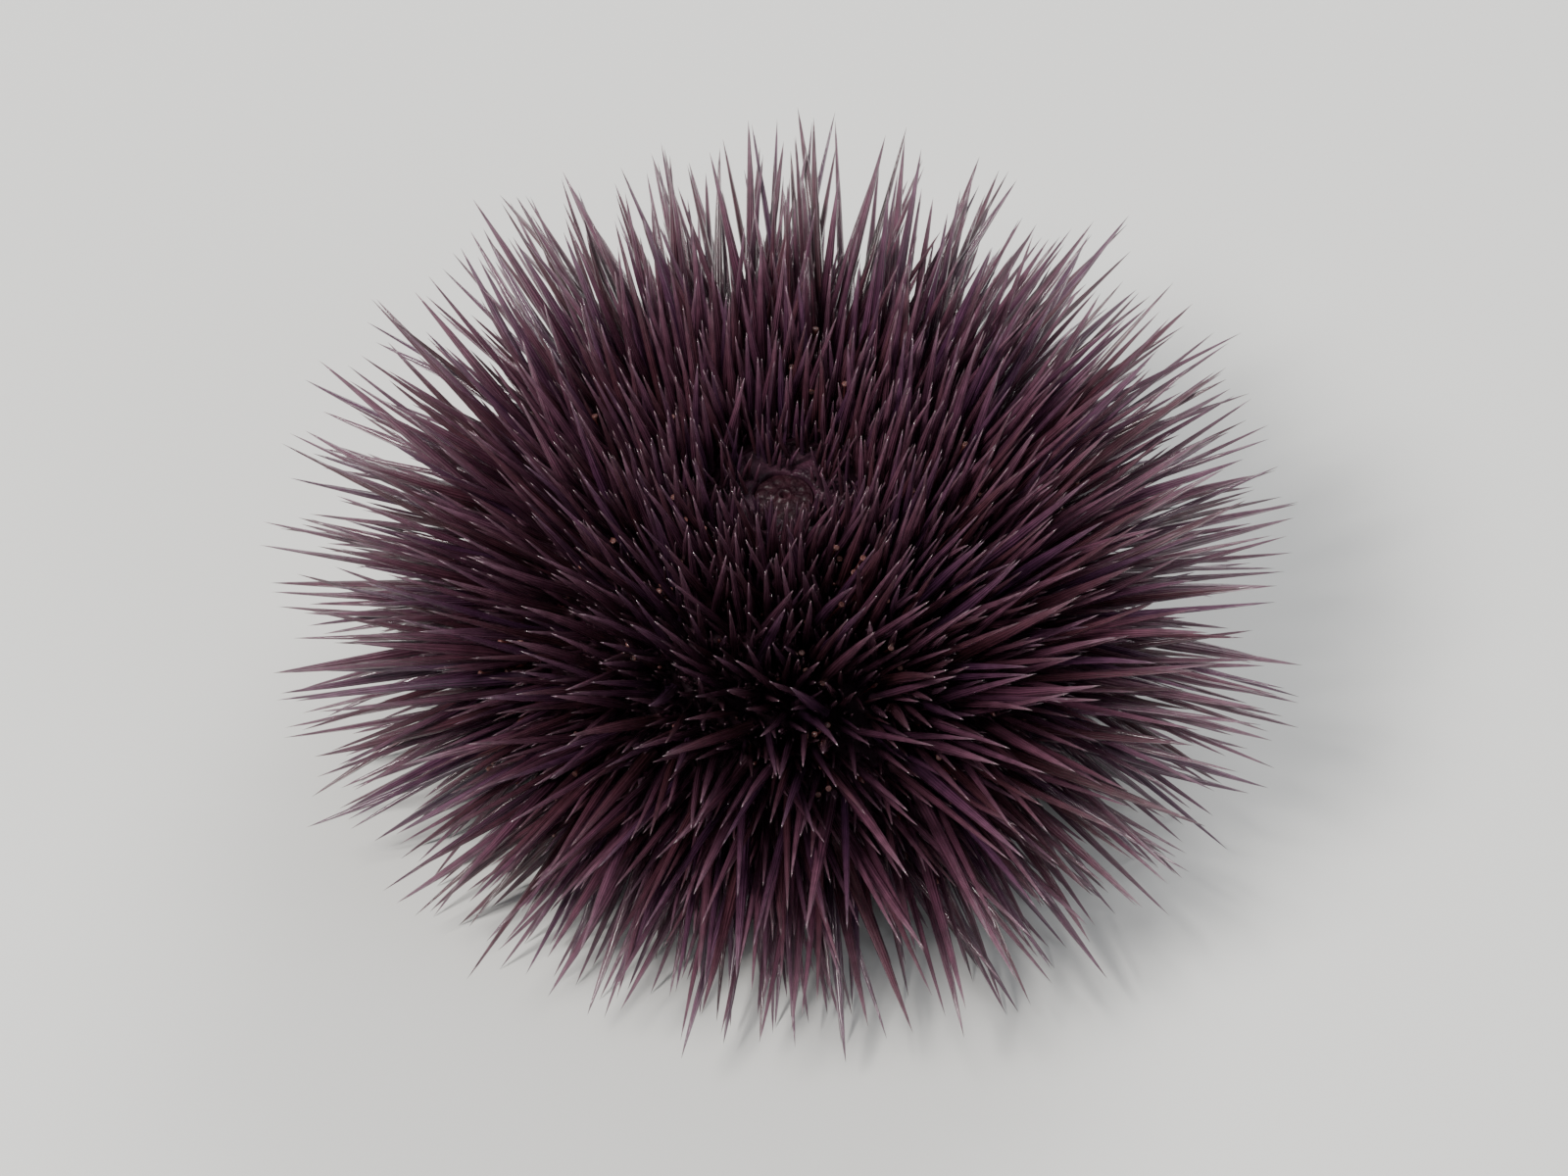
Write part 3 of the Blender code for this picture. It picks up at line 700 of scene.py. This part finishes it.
def partRoots(pieces):
    roots = [root for name, made, unit, finish in pieces for root in made]
    start, bow = (np.array([root[key] for root in roots], dtype=float) for key in ("at", "bow"))
    share, azimuth = np.array([root["place"] for root in roots]).T
    gives, slides = (np.array([root[key] for root in roots]) for key in ("gives", "slides"))
    length = np.array([root["size"][2] for root in roots])
    axis = np.array([root["aim"] for root in roots], dtype=float) * length[:, None]
    stands = (start + axis)[:, 2] < parting["low"] / 2
    even = np.linspace(0, 1, parting["samples"] + 1)
    thickness = np.array([root["size"][0] * np.interp(even, *zip(*sorted(unitProfiles[unit][1])))
                          for name, made, unit, finish in pieces for root in made])
    i, j = pairsNear(start)
    heeded = spineGaps(start, axis, bow, i, j)[2] < parting["heeded"]
    i, j = i[heeded], j[heeded]
    for turn in range(parting["rounds"]):
        along, apart, distance = spineGaps(start, axis, bow, i, j)
        needed = sum(thickness[k, np.rint(part * parting["samples"]).astype(int)]
                     for k, part in zip((i, j), along))
        overlap = np.maximum(0, needed + parting["room"] - distance)
        push = apart * (overlap / distance * parting["pull"])[:, None]
        rootMove, tipMove = np.zeros_like(start), np.zeros_like(start)
        for k, part, sign in zip((i, j), along, (1, -1)):
            weight = sign * gives[k] / (gives[i] + gives[j]) / (part ** 2 + (1 - part) ** 2)
            for move, level in ((rootMove, 1 - part), (tipMove, part)):
                for side in range(3):
                    move[:, side] += np.bincount(k, push[:, side] * weight * level, len(roots))
        # tips swing round their roots, or along the floor where they stand on it
        tip = start + axis + tipMove
        tip[:, 2] = np.where(stands, 0, np.maximum(tip[:, 2], parting["low"]))
        # roots slide over the shell
        down = (outlineAt(share * outlineLength + parting["step"])
                - outlineAt(share * outlineLength - parting["step"]))
        down /= np.linalg.norm(down, axis=0)
        cosine, sine = np.cos(azimuth), np.sin(azimuth)
        outward = rootMove[:, 0] * cosine + rootMove[:, 1] * sine
        sideways = rootMove[:, 1] * cosine - rootMove[:, 0] * sine
        downward = outward * down[0] + rootMove[:, 2] * down[1]
        share = np.where(slides, np.clip(share + downward / outlineLength, *parting["ends"]), share)
        ring, height = outlineAt(share * outlineLength)
        azimuth = azimuth + np.where(slides, sideways / ring, 0)
        ring, height = ring + parting["sink"] * down[1], height - parting["sink"] * down[0]
        slid = np.column_stack((ring * np.cos(azimuth), ring * np.sin(azimuth), height))
        start = np.where(slides[:, None], slid, start)
        axis = tip - start
        axis *= np.where(stands, 1, length / np.linalg.norm(axis, axis=1))[:, None]
    print(len(roots), "roots parted;", int((overlap > parting["room"]).sum()), "pairs still touch")
    for index, root in enumerate(roots):
        begin = Vector(start[index])
        root.update(newRoot(begin, begin + Vector(axis[index]), root["size"][0], root["bow"],
                            root["tone"], (share[index], azimuth[index])))


def plantSector(name, middle, sector):
    width, rows = sector["width"], sector["rows"]
    long, slim, short, tubercles = planted = [], [], [], []
    rng, tones = random.Random(name), random.Random(name + " tones")
    edge, (rise, sideways), (sunk, over, thick) = shell["edgeShare"], spines["bow"], spines["tubercle"]
    for (offset, size, first, last, step), side in product(sector["columns"], (-1, 1)):
        thinning, lift = spines["long" if size == 1 else "secondary"]
        for row in range(0, rows, step):
            share = (row + 0.5 + shell["zigzag"] * side) / rows
            if not first <= share <= last:
                continue
            share = edge + (1 - 2 * edge) * share
            radius = thicknessAt(share) * thinning
            azimuth = middle + side * offset * width
            root, tip, normal, place = spineLine(rng, share, azimuth, middle, width, size, radius)
            bow = randomVector(tones, sideways)
            bow.z = rng.uniform(-rise, rise)
            (long if size == 1 else short).append(newRoot(
                root + normal * lift, tip, radius, bow, tones.random(), place, parting["firm"]))
            tubercles.append(newRoot(root - normal * sunk * mm, root + normal * (lift + over),
                                     thick * radius, straight, middleTone, place))
    rng = random.Random(name + " fill")
    (jog, rowJog), (thin, thicker) = fill["jog"], fill["thickness"]
    for (offset, size, shift), side, row in product(sector["fill"], (-1, 1), range(rows)):
        down = row + shift + fill["shift"] + shell["zigzag"] * side
        share = (down + rng.uniform(-rowJog, rowJog)) / rows
        if not parting["ends"][0] <= share <= parting["ends"][1]:
            continue
        azimuth = middle + (side * offset + rng.uniform(-jog, jog)) * width
        scaled = min(fill["longest"], size * rng.uniform(*fill["played"]))
        radius = fill["radius"] * (thin + thicker * size)
        root, tip, normal, place = spineLine(rng, share, azimuth, middle, 2 * math.pi, scaled, radius)
        (slim if size > fill["slimFrom"] else short).append(newRoot(
            root, tip, radius, randomVector(rng, fill["bow"]), rng.random(), place,
            gives=1, slides=True))
    return planted


def plantSpines():
    planted = [[], [], [], []]
    for ray, (kind, sector) in product(range(rays), sectors.items()):
        grown = plantSector(f"{kind}_{ray + 1}", (ray + sector["middle"]) * rayAngle, sector)
        for whole, part in zip(planted, grown):
            whole.extend(part)
    return planted


longRoots, slimRoots, shortRoots, tubercleRoots = plantSpines()

# Finest spines and pedicellariae, the little stalked pincers, spread evenly over the skin
fineSpines = {"count": 3400, "length": (3 * mm, 6 * mm), "radius": 0.2 * mm, "lean": 0.3}
pedicellariae = {"count": 210, "length": (1.8 * mm, 3.6 * mm), "radius": 0.2 * mm, "lean": 0.35}
spreading = {
    "turn": math.pi * (3 - math.sqrt(5)),  # golden angle, which leaves no rows
    "jog": 0.5 * mm,
    "endLength": 0.55,  # share of its length that one at the crown or the mouth has
    "bow": 0.03,
}


def spreadRoots(kind, seed):
    rng = random.Random(seed)
    made = []
    for i in range(kind["count"]):
        area = (i + rng.random()) / kind["count"] * areas[-1]
        share = float(np.clip(np.interp(area, areas, lengths) / outlineLength, *parting["ends"]))
        azimuth = i * spreading["turn"] + rng.uniform(-1, 1) * spreading["jog"] / shellAt(share)[0]
        root, normal = onShell(share, azimuth)
        waist = spreading["endLength"] + (1 - spreading["endLength"]) * math.sin(math.pi * share)
        length = rng.uniform(*kind["length"]) * waist
        aim = (normal + randomVector(rng, kind["lean"])).normalized()
        start = root - normal * parting["sink"]
        made.append(newRoot(start, start + aim * length, kind["radius"],
                            randomVector(rng, spreading["bow"] * length), rng.random(),
                            (share, azimuth), parting["fine"], slides=True))
    return made


# Tube feet in two bands down each side of an ambulacrum; most are drawn in, as out of water
tubeFeet = {
    "rows": 40, "bands": (0.33, 0.4), "shown": 0.32, "radius": 0.2 * mm,
    "length": (2.5 * mm, 6 * mm), "bow": 0.05,
    "from": (0.04, 0.93),  # first share of the way down, and the share that they take up
    "rowPlay": (0.2, 0.8), "lean": 0.35,
    "overFloor": 0.8,  # share of the height of its root that one under the belly may reach down
    "under": -0.2,  # upward part of the normal from which a root is under the belly
}


def plantTubeFeet():
    rng = random.Random("tube feet")
    (first, over), rows = tubeFeet["from"], tubeFeet["rows"]
    made = []
    for ray, side, band, row in product(range(rays), (-1, 1), tubeFeet["bands"], range(rows)):
        share = first + over * (row + rng.uniform(*tubeFeet["rowPlay"])) / rows
        if rng.random() > tubeFeet["shown"]:
            continue
        azimuth = ray * rayAngle + side * band * sectors["ambulacrum"]["width"]
        root, normal = onShell(share, azimuth)
        aim = (normal + randomVector(rng, tubeFeet["lean"])).normalized()
        length = rng.uniform(*tubeFeet["length"])
        if normal.z < tubeFeet["under"]:
            length = min(length, tubeFeet["overFloor"] * root.z)
        bow = randomVector(rng, tubeFeet["bow"] * length)
        start = root - normal * parting["sink"]
        made.append(newRoot(start, start + aim * length, tubeFeet["radius"], bow, rng.random(),
                            (share, azimuth), parting["fine"], slides=True))
    return made


# The apical disc: five genital plates, the first of them the sieve plate, and five oculars
apical = {
    "inner": 2.6 * mm, "outer": 5.78 * mm, "depth": 2.1 * mm, "rows": 34, "turns": 260,
    "genital": (4.15 * mm, 0.5 * mm),  # distance from the axis, and how far it pushes its edge out
    "sieve": (4.15 * mm, 0.85 * mm), "ocular": (5.15 * mm, -0.45 * mm),
    "level": -0.05 * mm,  # of the disc's face against the shell's top ring
    "edge": 0.06,  # share of the face's width in which its relief fades out
    "dome": (0.34 * mm, 0.45 * mm),  # height, and the width of its slope
    "suture": (0.16 * mm, 0.12 * mm),  # depth and width
    "sievePits": 0.05 * mm,  # their depth; below, their spacing and how their rows wander
    "sieveGrid": (0.09 * mm, 0.1 * mm), "sieveBends": (0.23 * mm, 0.31 * mm), "sieveBend": 1.7,
    "pore": (4.75 * mm, 0.22 * mm, 0.35 * mm),  # distance from the axis, radius and depth
}
apicalSpots = [(*(heading((ray + shift) * rayAngle).xy * reach), pull) for ray in range(rays)
               for (reach, pull), shift in ((apical["genital" if ray else "sieve"], 0.5),
                                            (apical["ocular"], 0))]


def apicalRelief(x, y):
    # each plate a low dome with a suture round it, and a pore in each genital plate
    away = np.stack([np.hypot(x - spotX, y - spotY) - pull for spotX, spotY, pull in apicalSpots])
    near = np.sort(away, axis=0)
    toSuture = (near[1] - near[0]) / 2
    (dome, slope), (deep, wide) = apical["dome"], apical["suture"]
    rise = dome * (1 - np.exp(-toSuture / slope)) - deep * ridge(toSuture, wide)
    u, v = (one / grid + apical["sieveBend"] * np.sin(other / bend) for one, other, grid, bend in zip(
        (x, y), (y, x), apical["sieveGrid"], apical["sieveBends"]))
    rise = rise + np.where(away[0] == near[0], apical["sievePits"] * np.sin(u) * np.sin(v), 0)
    reach, wide, deep = apical["pore"]
    for ray in range(rays):
        rise = rise - deep * knob(x, y, heading((ray + 0.5) * rayAngle) * reach, wide)
    return rise


def makeApicalDisc():
    inner, outer = apical["inner"], apical["outer"]
    rings = reliefRings(apical, inner, outer, crownHeight + apical["level"], apicalRelief,
                        apical["edge"], apical["edge"])
    for radius, depth in ((outer, 0.5), (outer, 1), (inner, 1), (inner, 0.5)):
        rings.append(ringAt(radius, crownHeight - depth * apical["depth"], apical["turns"]))
    return joinRings("apicalPlates", rings, mottled["thinlySkinnedPlate"], joined=True)


apicalPlates = makeApicalDisc()

# Small spines on the crown
crownSpines = {
    # how many in each tuft, its distance from the axis, its spread and its turn in rays
    "tufts": ((11, 4.5 * mm, 1.1 * mm, 0.5), (4, 5.1 * mm, 0.5 * mm, 0), (9, 3.4 * mm, 1 * mm, 0.3)),
    "bare": (2.8 * mm, 5.6 * mm),  # none stand closer to the axis or further off
    "fullFrom": 5 * mm,  # closer to the axis than this they are shorter
    "sink": 0.15 * mm, "outwards": (-0.1, 0.5),
    "inTuft": (0.6, 1),  # share of the tuft's spread
    "play": 0.2, "onMap": 0.14, "length": (2.8 * mm, 6.5 * mm), "radius": 0.21 * mm,
}


def plantCrownSpines():
    rng = random.Random("crown")
    play, (nearest, furthest) = crownSpines["play"], crownSpines["bare"]
    made = []
    for ray, (count, reach, spread, turn) in product(range(rays), crownSpines["tufts"]):
        for i in range(count):
            around = 2 * math.pi * (i + rng.uniform(-play, play)) / count
            spot = heading((ray + turn) * rayAngle) * reach
            spot += heading(around) * spread * rng.uniform(*crownSpines["inTuft"])
            radius = spot.length
            if not nearest < radius < furthest:
                continue
            spot.z = crownHeight + float(apicalRelief(spot.x, spot.y)) - crownSpines["sink"]
            azimuth = math.atan2(spot.y, spot.x)
            aim = polar(azimuth, rng.uniform(*crownSpines["outwards"]), 1)
            aim += Vector((rng.uniform(-play, play), rng.uniform(-play, play), 0))
            length = rng.uniform(*crownSpines["length"]) * min(1, radius / crownSpines["fullFrom"])
            place = ((radius / shell["crown"][0] - 1) * crownSpines["onMap"], azimuth)
            made.append(newRoot(spot, spot + aim.normalized() * length, crownSpines["radius"],
                                straight, rng.random(), place, gives=1))
    return made


# The whole coat: what is planted is parted first and grown then
planted = (
    ("longSpines", longRoots, "longSpine", spineMaterial),
    ("slimSpines", slimRoots, "shortSpine", spineMaterial),
    ("shortSpines", shortRoots, "shortSpine", spineMaterial),
    ("fineSpines", spreadRoots(fineSpines, "finest"), "fineSpine", spineMaterial),
    ("pedicellariae", spreadRoots(pedicellariae, "pincers"), "pedicellaria", footMaterial),
    ("tubeFeet", plantTubeFeet(), "tubeFoot", footMaterial),
    ("crownSpines", plantCrownSpines(), "shortSpine", spineMaterial),
)
partRoots(planted)
coat = {name: grow(name, roots, unit, finish) for name, roots, unit, finish in planted}
coat["tubercles"] = grow("tubercles", tubercleRoots, "tubercle", mottled["darkShellSkinAndPaintedShade"])

# The periproct: soft skin with small plates round the vent
vent = {
    "radius": 2.5 * mm, "depth": 2.1 * mm, "rows": 28, "turns": 140, "level": -0.15 * mm,
    "edge": 0.08,
    "cone": (0.5 * mm, 0.45 * mm, 0.3 * mm),  # radius, height and width of the ridge
    "opening": (0.35 * mm, 0.25 * mm),  # depth and radius
    "plates": ((1.1 * mm, 6), (1.9 * mm, 11)),  # distance from the axis, and how many
    "plate": (0.42 * mm, 0.16 * mm),  # radius and height
    "platePlay": (0.15, (0.7, 1.1)),  # of its place in the row, and of its size
}


def ventRelief(x, y):
    radius = np.hypot(x, y)
    (reach, high, wide), (deep, opening) = vent["cone"], vent["opening"]
    rise = high * ridge(radius - reach, wide) - deep * ridge(radius, opening)
    rng = random.Random("vent plates")
    (wide, high), (play, sizes) = vent["plate"], vent["platePlay"]
    for reach, count in vent["plates"]:
        for i in range(count):
            spot = heading(2 * math.pi * (i + rng.uniform(-play, play)) / count) * reach
            rise = rise + high * knob(x, y, spot, wide * rng.uniform(*sizes))
    return rise


def makeVent():
    radius, depth = vent["radius"], vent["depth"]
    rings = reliefRings(vent, 0, radius, crownHeight + vent["level"], ventRelief, fadeOut=vent["edge"])
    for part in (0.5, 1):
        rings.append(ringAt(radius, crownHeight - part * depth, vent["turns"]))
    rings.append(ringAt(0, crownHeight - depth, 1))
    return joinRings("ventSkin", rings, mottled["moistMembrane"])


ventSkin = makeVent()

# The peristome: a sagging membrane with scales, ten buccal plates and a pleated lip
mouth = {
    "inner": 2.9 * mm, "outer": 8.2 * mm, "under": bellyHeight + 0.7 * mm, "thickness": 1.4 * mm,
    "rows": 48, "turns": 320, "edge": 0.04,
    "lip": (3.55 * mm, 0.8 * mm, 0.5 * mm),  # radius, height and width
    "pleats": (45, 0.14),  # how many, and their share of the lip's height
    "folds": (0.06 * mm, 0.14 * mm),  # height, and outward spacing per radian
    "foldWander": ((2.2, 3, 1), (1.3, 8, 0)),  # how far, how many times round, and its shift
    "foldBreaks": (5, 0.8 * mm),  # how many times round they fade, and the twist of that outwards
    "scales": (90, 0.3 * mm, 0.1 * mm),  # how many, their radius and height
    "scalesAt": (4.3, 7.8),  # mm from the axis
    "scaleSizes": (0.6, 1.2),
    "plate": (0.8 * mm, 0.28 * mm),  # radius and height of the plate that each foot stands on
    "footAt": 5.6 * mm, "footSpread": math.radians(11), "footRadius": 0.42 * mm,
    "footLength": (2 * mm, 2.6 * mm), "footSink": 0.2 * mm,
    "footLean": (-0.3, 0.5),  # mm outwards
    "footOnMap": 1.02,
}
buccalSpots = [heading(ray * rayAngle + side * mouth["footSpread"]) * mouth["footAt"]
               for ray in range(rays) for side in (-1, 1)]


def mouthRelief(x, y):
    # the membrane's height against its level; everything on it hangs down
    radius = np.hypot(x, y)
    turn = np.arctan2(y, x)
    (reach, high, wide), (pleats, pleated) = mouth["lip"], mouth["pleats"]
    drop = high * ridge(radius - reach, wide) * (1 - pleated + pleated * np.sin(pleats * turn))
    # shallow folds that wander round the mouth
    (high, spacing), (breaks, twist) = mouth["folds"], mouth["foldBreaks"]
    fold = radius / spacing
    for far, times, shift in mouth["foldWander"]:
        fold = fold + far * np.sin(times * turn + shift)
    drop = drop + high * np.sin(fold) * np.sin(breaks * turn + radius / twist)
    wide, high = mouth["plate"]
    for spot in buccalSpots:
        drop = drop + high * knob(x, y, spot, wide)
    rng = random.Random("mouth scales")
    count, wide, high = mouth["scales"]
    for i in range(count):
        spot = heading(rng.uniform(0, 2 * math.pi)) * rng.uniform(*mouth["scalesAt"]) * mm
        drop = drop + high * knob(x, y, spot, wide * rng.uniform(*mouth["scaleSizes"]))
    return -drop


def makeMouth():
    inner, outer, under = mouth["inner"], mouth["outer"], mouth["under"]
    rings = [ringAt(radius, under + mouth["thickness"], mouth["turns"]) for radius in (inner, outer)]
    rings += reliefRings(mouth, outer, inner, under, mouthRelief, fadeIn=mouth["edge"])
    return joinRings("mouthMembrane", rings, mottled["moistMembrane"], joined=True)


mouthMembrane = makeMouth()


def plantBuccalFeet():
    rng = random.Random("buccal feet")
    made = []
    for spot in buccalSpots:
        root = spot + Vector((0, 0, mouth["under"] - mouth["footSink"]))
        tip = root + spot.normalized() * rng.uniform(*mouth["footLean"]) * mm
        tip.z -= rng.uniform(*mouth["footLength"])
        place = (mouth["footOnMap"], math.atan2(spot.y, spot.x))
        made.append(newRoot(root, tip, mouth["footRadius"], straight, middleTone, place))
    return made


coat["buccalFeet"] = grow("buccalFeet", plantBuccalFeet(), "tubeFoot", footMaterial)

# The lantern's five jaw ends, each holding a tooth whose tip meets the others
jaw = {
    "radius": 2.7 * mm, "top": bellyHeight + 2.1 * mm, "tip": bellyHeight - 0.5 * mm,
    "half": math.radians(33), "steps": 5,
    "taper": (0.42, 1.5),  # share of its radius that it loses on the way down, and how late
    "inner": (0.5, 0.6),  # mm from the axis at the top, and how many more at the tip
    "narrowing": 0.35,
}
tooth = {
    "top": bellyHeight + 1.6 * mm, "tip": bellyHeight - 2.1 * mm, "width": 1.15 * mm,
    "depth": 0.42 * mm, "steps": 9,
    "curve": (1.55, 1.2, 1.6),  # mm from the axis, how many it comes in, and how late
    "narrowing": (0.72, 3), "thinning": (0.8, 2), "bevel": 0.03 * mm,
    # across and outwards, round the section of a keeled blade
    "section": ((-1, 0.2), (-0.7, 0.75), (0, 1), (0.7, 0.75), (1, 0.2), (0.3, -0.3), (0, -1),
                (-0.3, -0.3)),
}


def toothSection(azimuth, part):
    # the blade curves in towards the axis and ends in a chisel
    outward = heading(azimuth)
    sideways = Vector((-outward.y, outward.x, 0))
    height = tooth["top"] + (tooth["tip"] - tooth["top"]) * part
    reach, inwards, late = tooth["curve"]
    centre = outward * (reach - inwards * part ** late) * mm + Vector((0, 0, height))
    wide, deep = (full * (1 - lost * part ** late) for full, (lost, late) in (
        (tooth["width"] / 2, tooth["narrowing"]), (tooth["depth"], tooth["thinning"])))
    return [centre + sideways * across * wide + outward * out * deep for across, out in tooth["section"]]


def jawSection(azimuth, part):
    # a wedge that narrows downwards, behind and beside the tooth
    height = jaw["top"] + (jaw["tip"] - jaw["top"]) * part
    lost, late = jaw["taper"]
    outer = jaw["radius"] * (1 - lost * part ** late)
    inner = (jaw["inner"][0] + jaw["inner"][1] * part) * mm
    half = jaw["half"] * (1 - jaw["narrowing"] * part)
    return ([polar(azimuth + share * half, outer, height) for share in (-1, -0.5, 0, 0.5, 1)]
            + [polar(azimuth + share * half, inner, height) for share in (1, 0, -1)])


def makeTeeth():
    points, faces = [], []
    sections = ((toothSection, tooth["steps"]), (jawSection, jaw["steps"]))
    for ray, (section, steps) in product(range(rays), sections):
        start = len(points)
        for i in range(steps + 1):
            points.extend(section((ray + 0.5) * rayAngle, i / steps))
        count = (len(points) - start) // (steps + 1)
        for i, j in product(range(steps), range(count)):
            a, b, k = start + i * count, start + (i + 1) * count, (j + 1) % count
            faces.append((a + j, b + j, b + k, a + k))
        faces.append(tuple(range(start, start + count)))
        faces.append(tuple(reversed(range(len(points) - count, len(points)))))
    made = addObject("lanternTeeth", points, faces, mottled["toothCalcite"], smooth=False)
    bevel = made.modifiers.new("soften", "BEVEL")
    bevel.width = tooth["bevel"]
    bevel.segments = 2
    return made


lanternTeeth = makeTeeth()
print("crown and mouth made")

# Every piece rides on the one body and stands for its nodes
sectorNodes = [f"{kind}_{ray + 1}" for ray in range(rays) for kind in sectors]
rides = [(shellSkin, sectorNodes, "test"), (coat["tubercles"], sectorNodes, "test")]
rides += [(coat[name], sectorNodes, "spine")
          for name in ("longSpines", "slimSpines", "shortSpines", "fineSpines")]
rides += [(coat[name], sectorNodes, "tube_foot") for name in ("pedicellariae", "tubeFeet")]
rides += [
    (apicalPlates, ["apical_disc"], "apical_plate"),
    (coat["crownSpines"], ["apical_disc"], "spine"),
    (ventSkin, ["periproct"], "skin"),
    (mouthMembrane, ["peristome"], "skin"),
    (coat["buccalFeet"], ["peristome"], "tube_foot"),
    (lanternTeeth, ["lantern_teeth"], "tooth"),
]
for piece, nodes, slot in rides:
    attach(piece, "root")
    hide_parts(*nodes)
for unit in units.values():
    bpy.data.objects.remove(unit)

# Studio: a pale matt floor, soft lights, and a long lens looking down from the front
studio = {
    "floor": "#d9d9d6",
    "floorHalf": 3, "floorHeight": -0.02 * mm, "sky": (0.92, 0.95, 1, 1), "skyStrength": 0.45,
    # name, place, width, watts, tint
    "lights": (
        ("key", (-0.55, -0.35, 0.95), 0.3, 18, (1, 0.97, 0.93)),
        ("fill", (0.8, -0.6, 0.6), 0.8, 4.5, (0.93, 0.96, 1)),
        ("rim", (0.35, 0.8, 0.55), 0.5, 8, (1, 1, 1)),
    ),
    "elevation": math.radians(50), "distance": 2.3, "frameWidth": 0.134, "target": (0, 0, 0.0185),
}


def makeFloor():
    made, add = startMaterial("mattPaleFloor")
    place = add("TexCoord").outputs["Object"]
    fine = add("TexNoise", {"Vector": place, "Scale": 40})
    bump = add("Bump", {"Strength": 0.05, "Distance": 0.2 * mm, "Height": fine})
    finishMaterial(add, sRgb(studio["floor"]), bump, {"Roughness": 0.7})
    half, height = studio["floorHalf"], studio["floorHeight"]
    corners = [(-half, -half, height), (half, -half, height), (half, half, height), (-half, half, height)]
    addObject("floor", corners, [(0, 1, 2, 3)], made, smooth=False)


def makeLights():
    world = bpy.data.worlds.new("studio")
    world.use_nodes = True
    sky = world.node_tree.nodes["Background"]
    sky.inputs[0].default_value = studio["sky"]
    sky.inputs[1].default_value = studio["skyStrength"]
    bpy.context.scene.world = world
    for name, place, width, watts, tint in studio["lights"]:
        light = bpy.data.lights.new(name, "AREA")
        light.energy = watts
        light.size = width
        light.color = tint
        lamp = addToScene(name, light)
        lamp.location = place
        lamp.rotation_euler = (-Vector(place)).to_track_quat("-Z", "Y").to_euler()


def makeCamera():
    lens = bpy.data.cameras.new("camera")
    lens.sensor_width = 36
    lens.lens = lens.sensor_width * studio["distance"] / studio["frameWidth"]
    lens.clip_start = 0.1
    lens.clip_end = 20
    camera = addToScene("camera", lens)
    away = Vector((0, -math.cos(studio["elevation"]), math.sin(studio["elevation"])))
    camera.location = Vector(studio["target"]) + away * studio["distance"]
    camera.rotation_euler = (-away).to_track_quat("-Z", "Y").to_euler()
    bpy.context.scene.camera = camera


makeFloor()
makeLights()
makeCamera()
print("studio made")
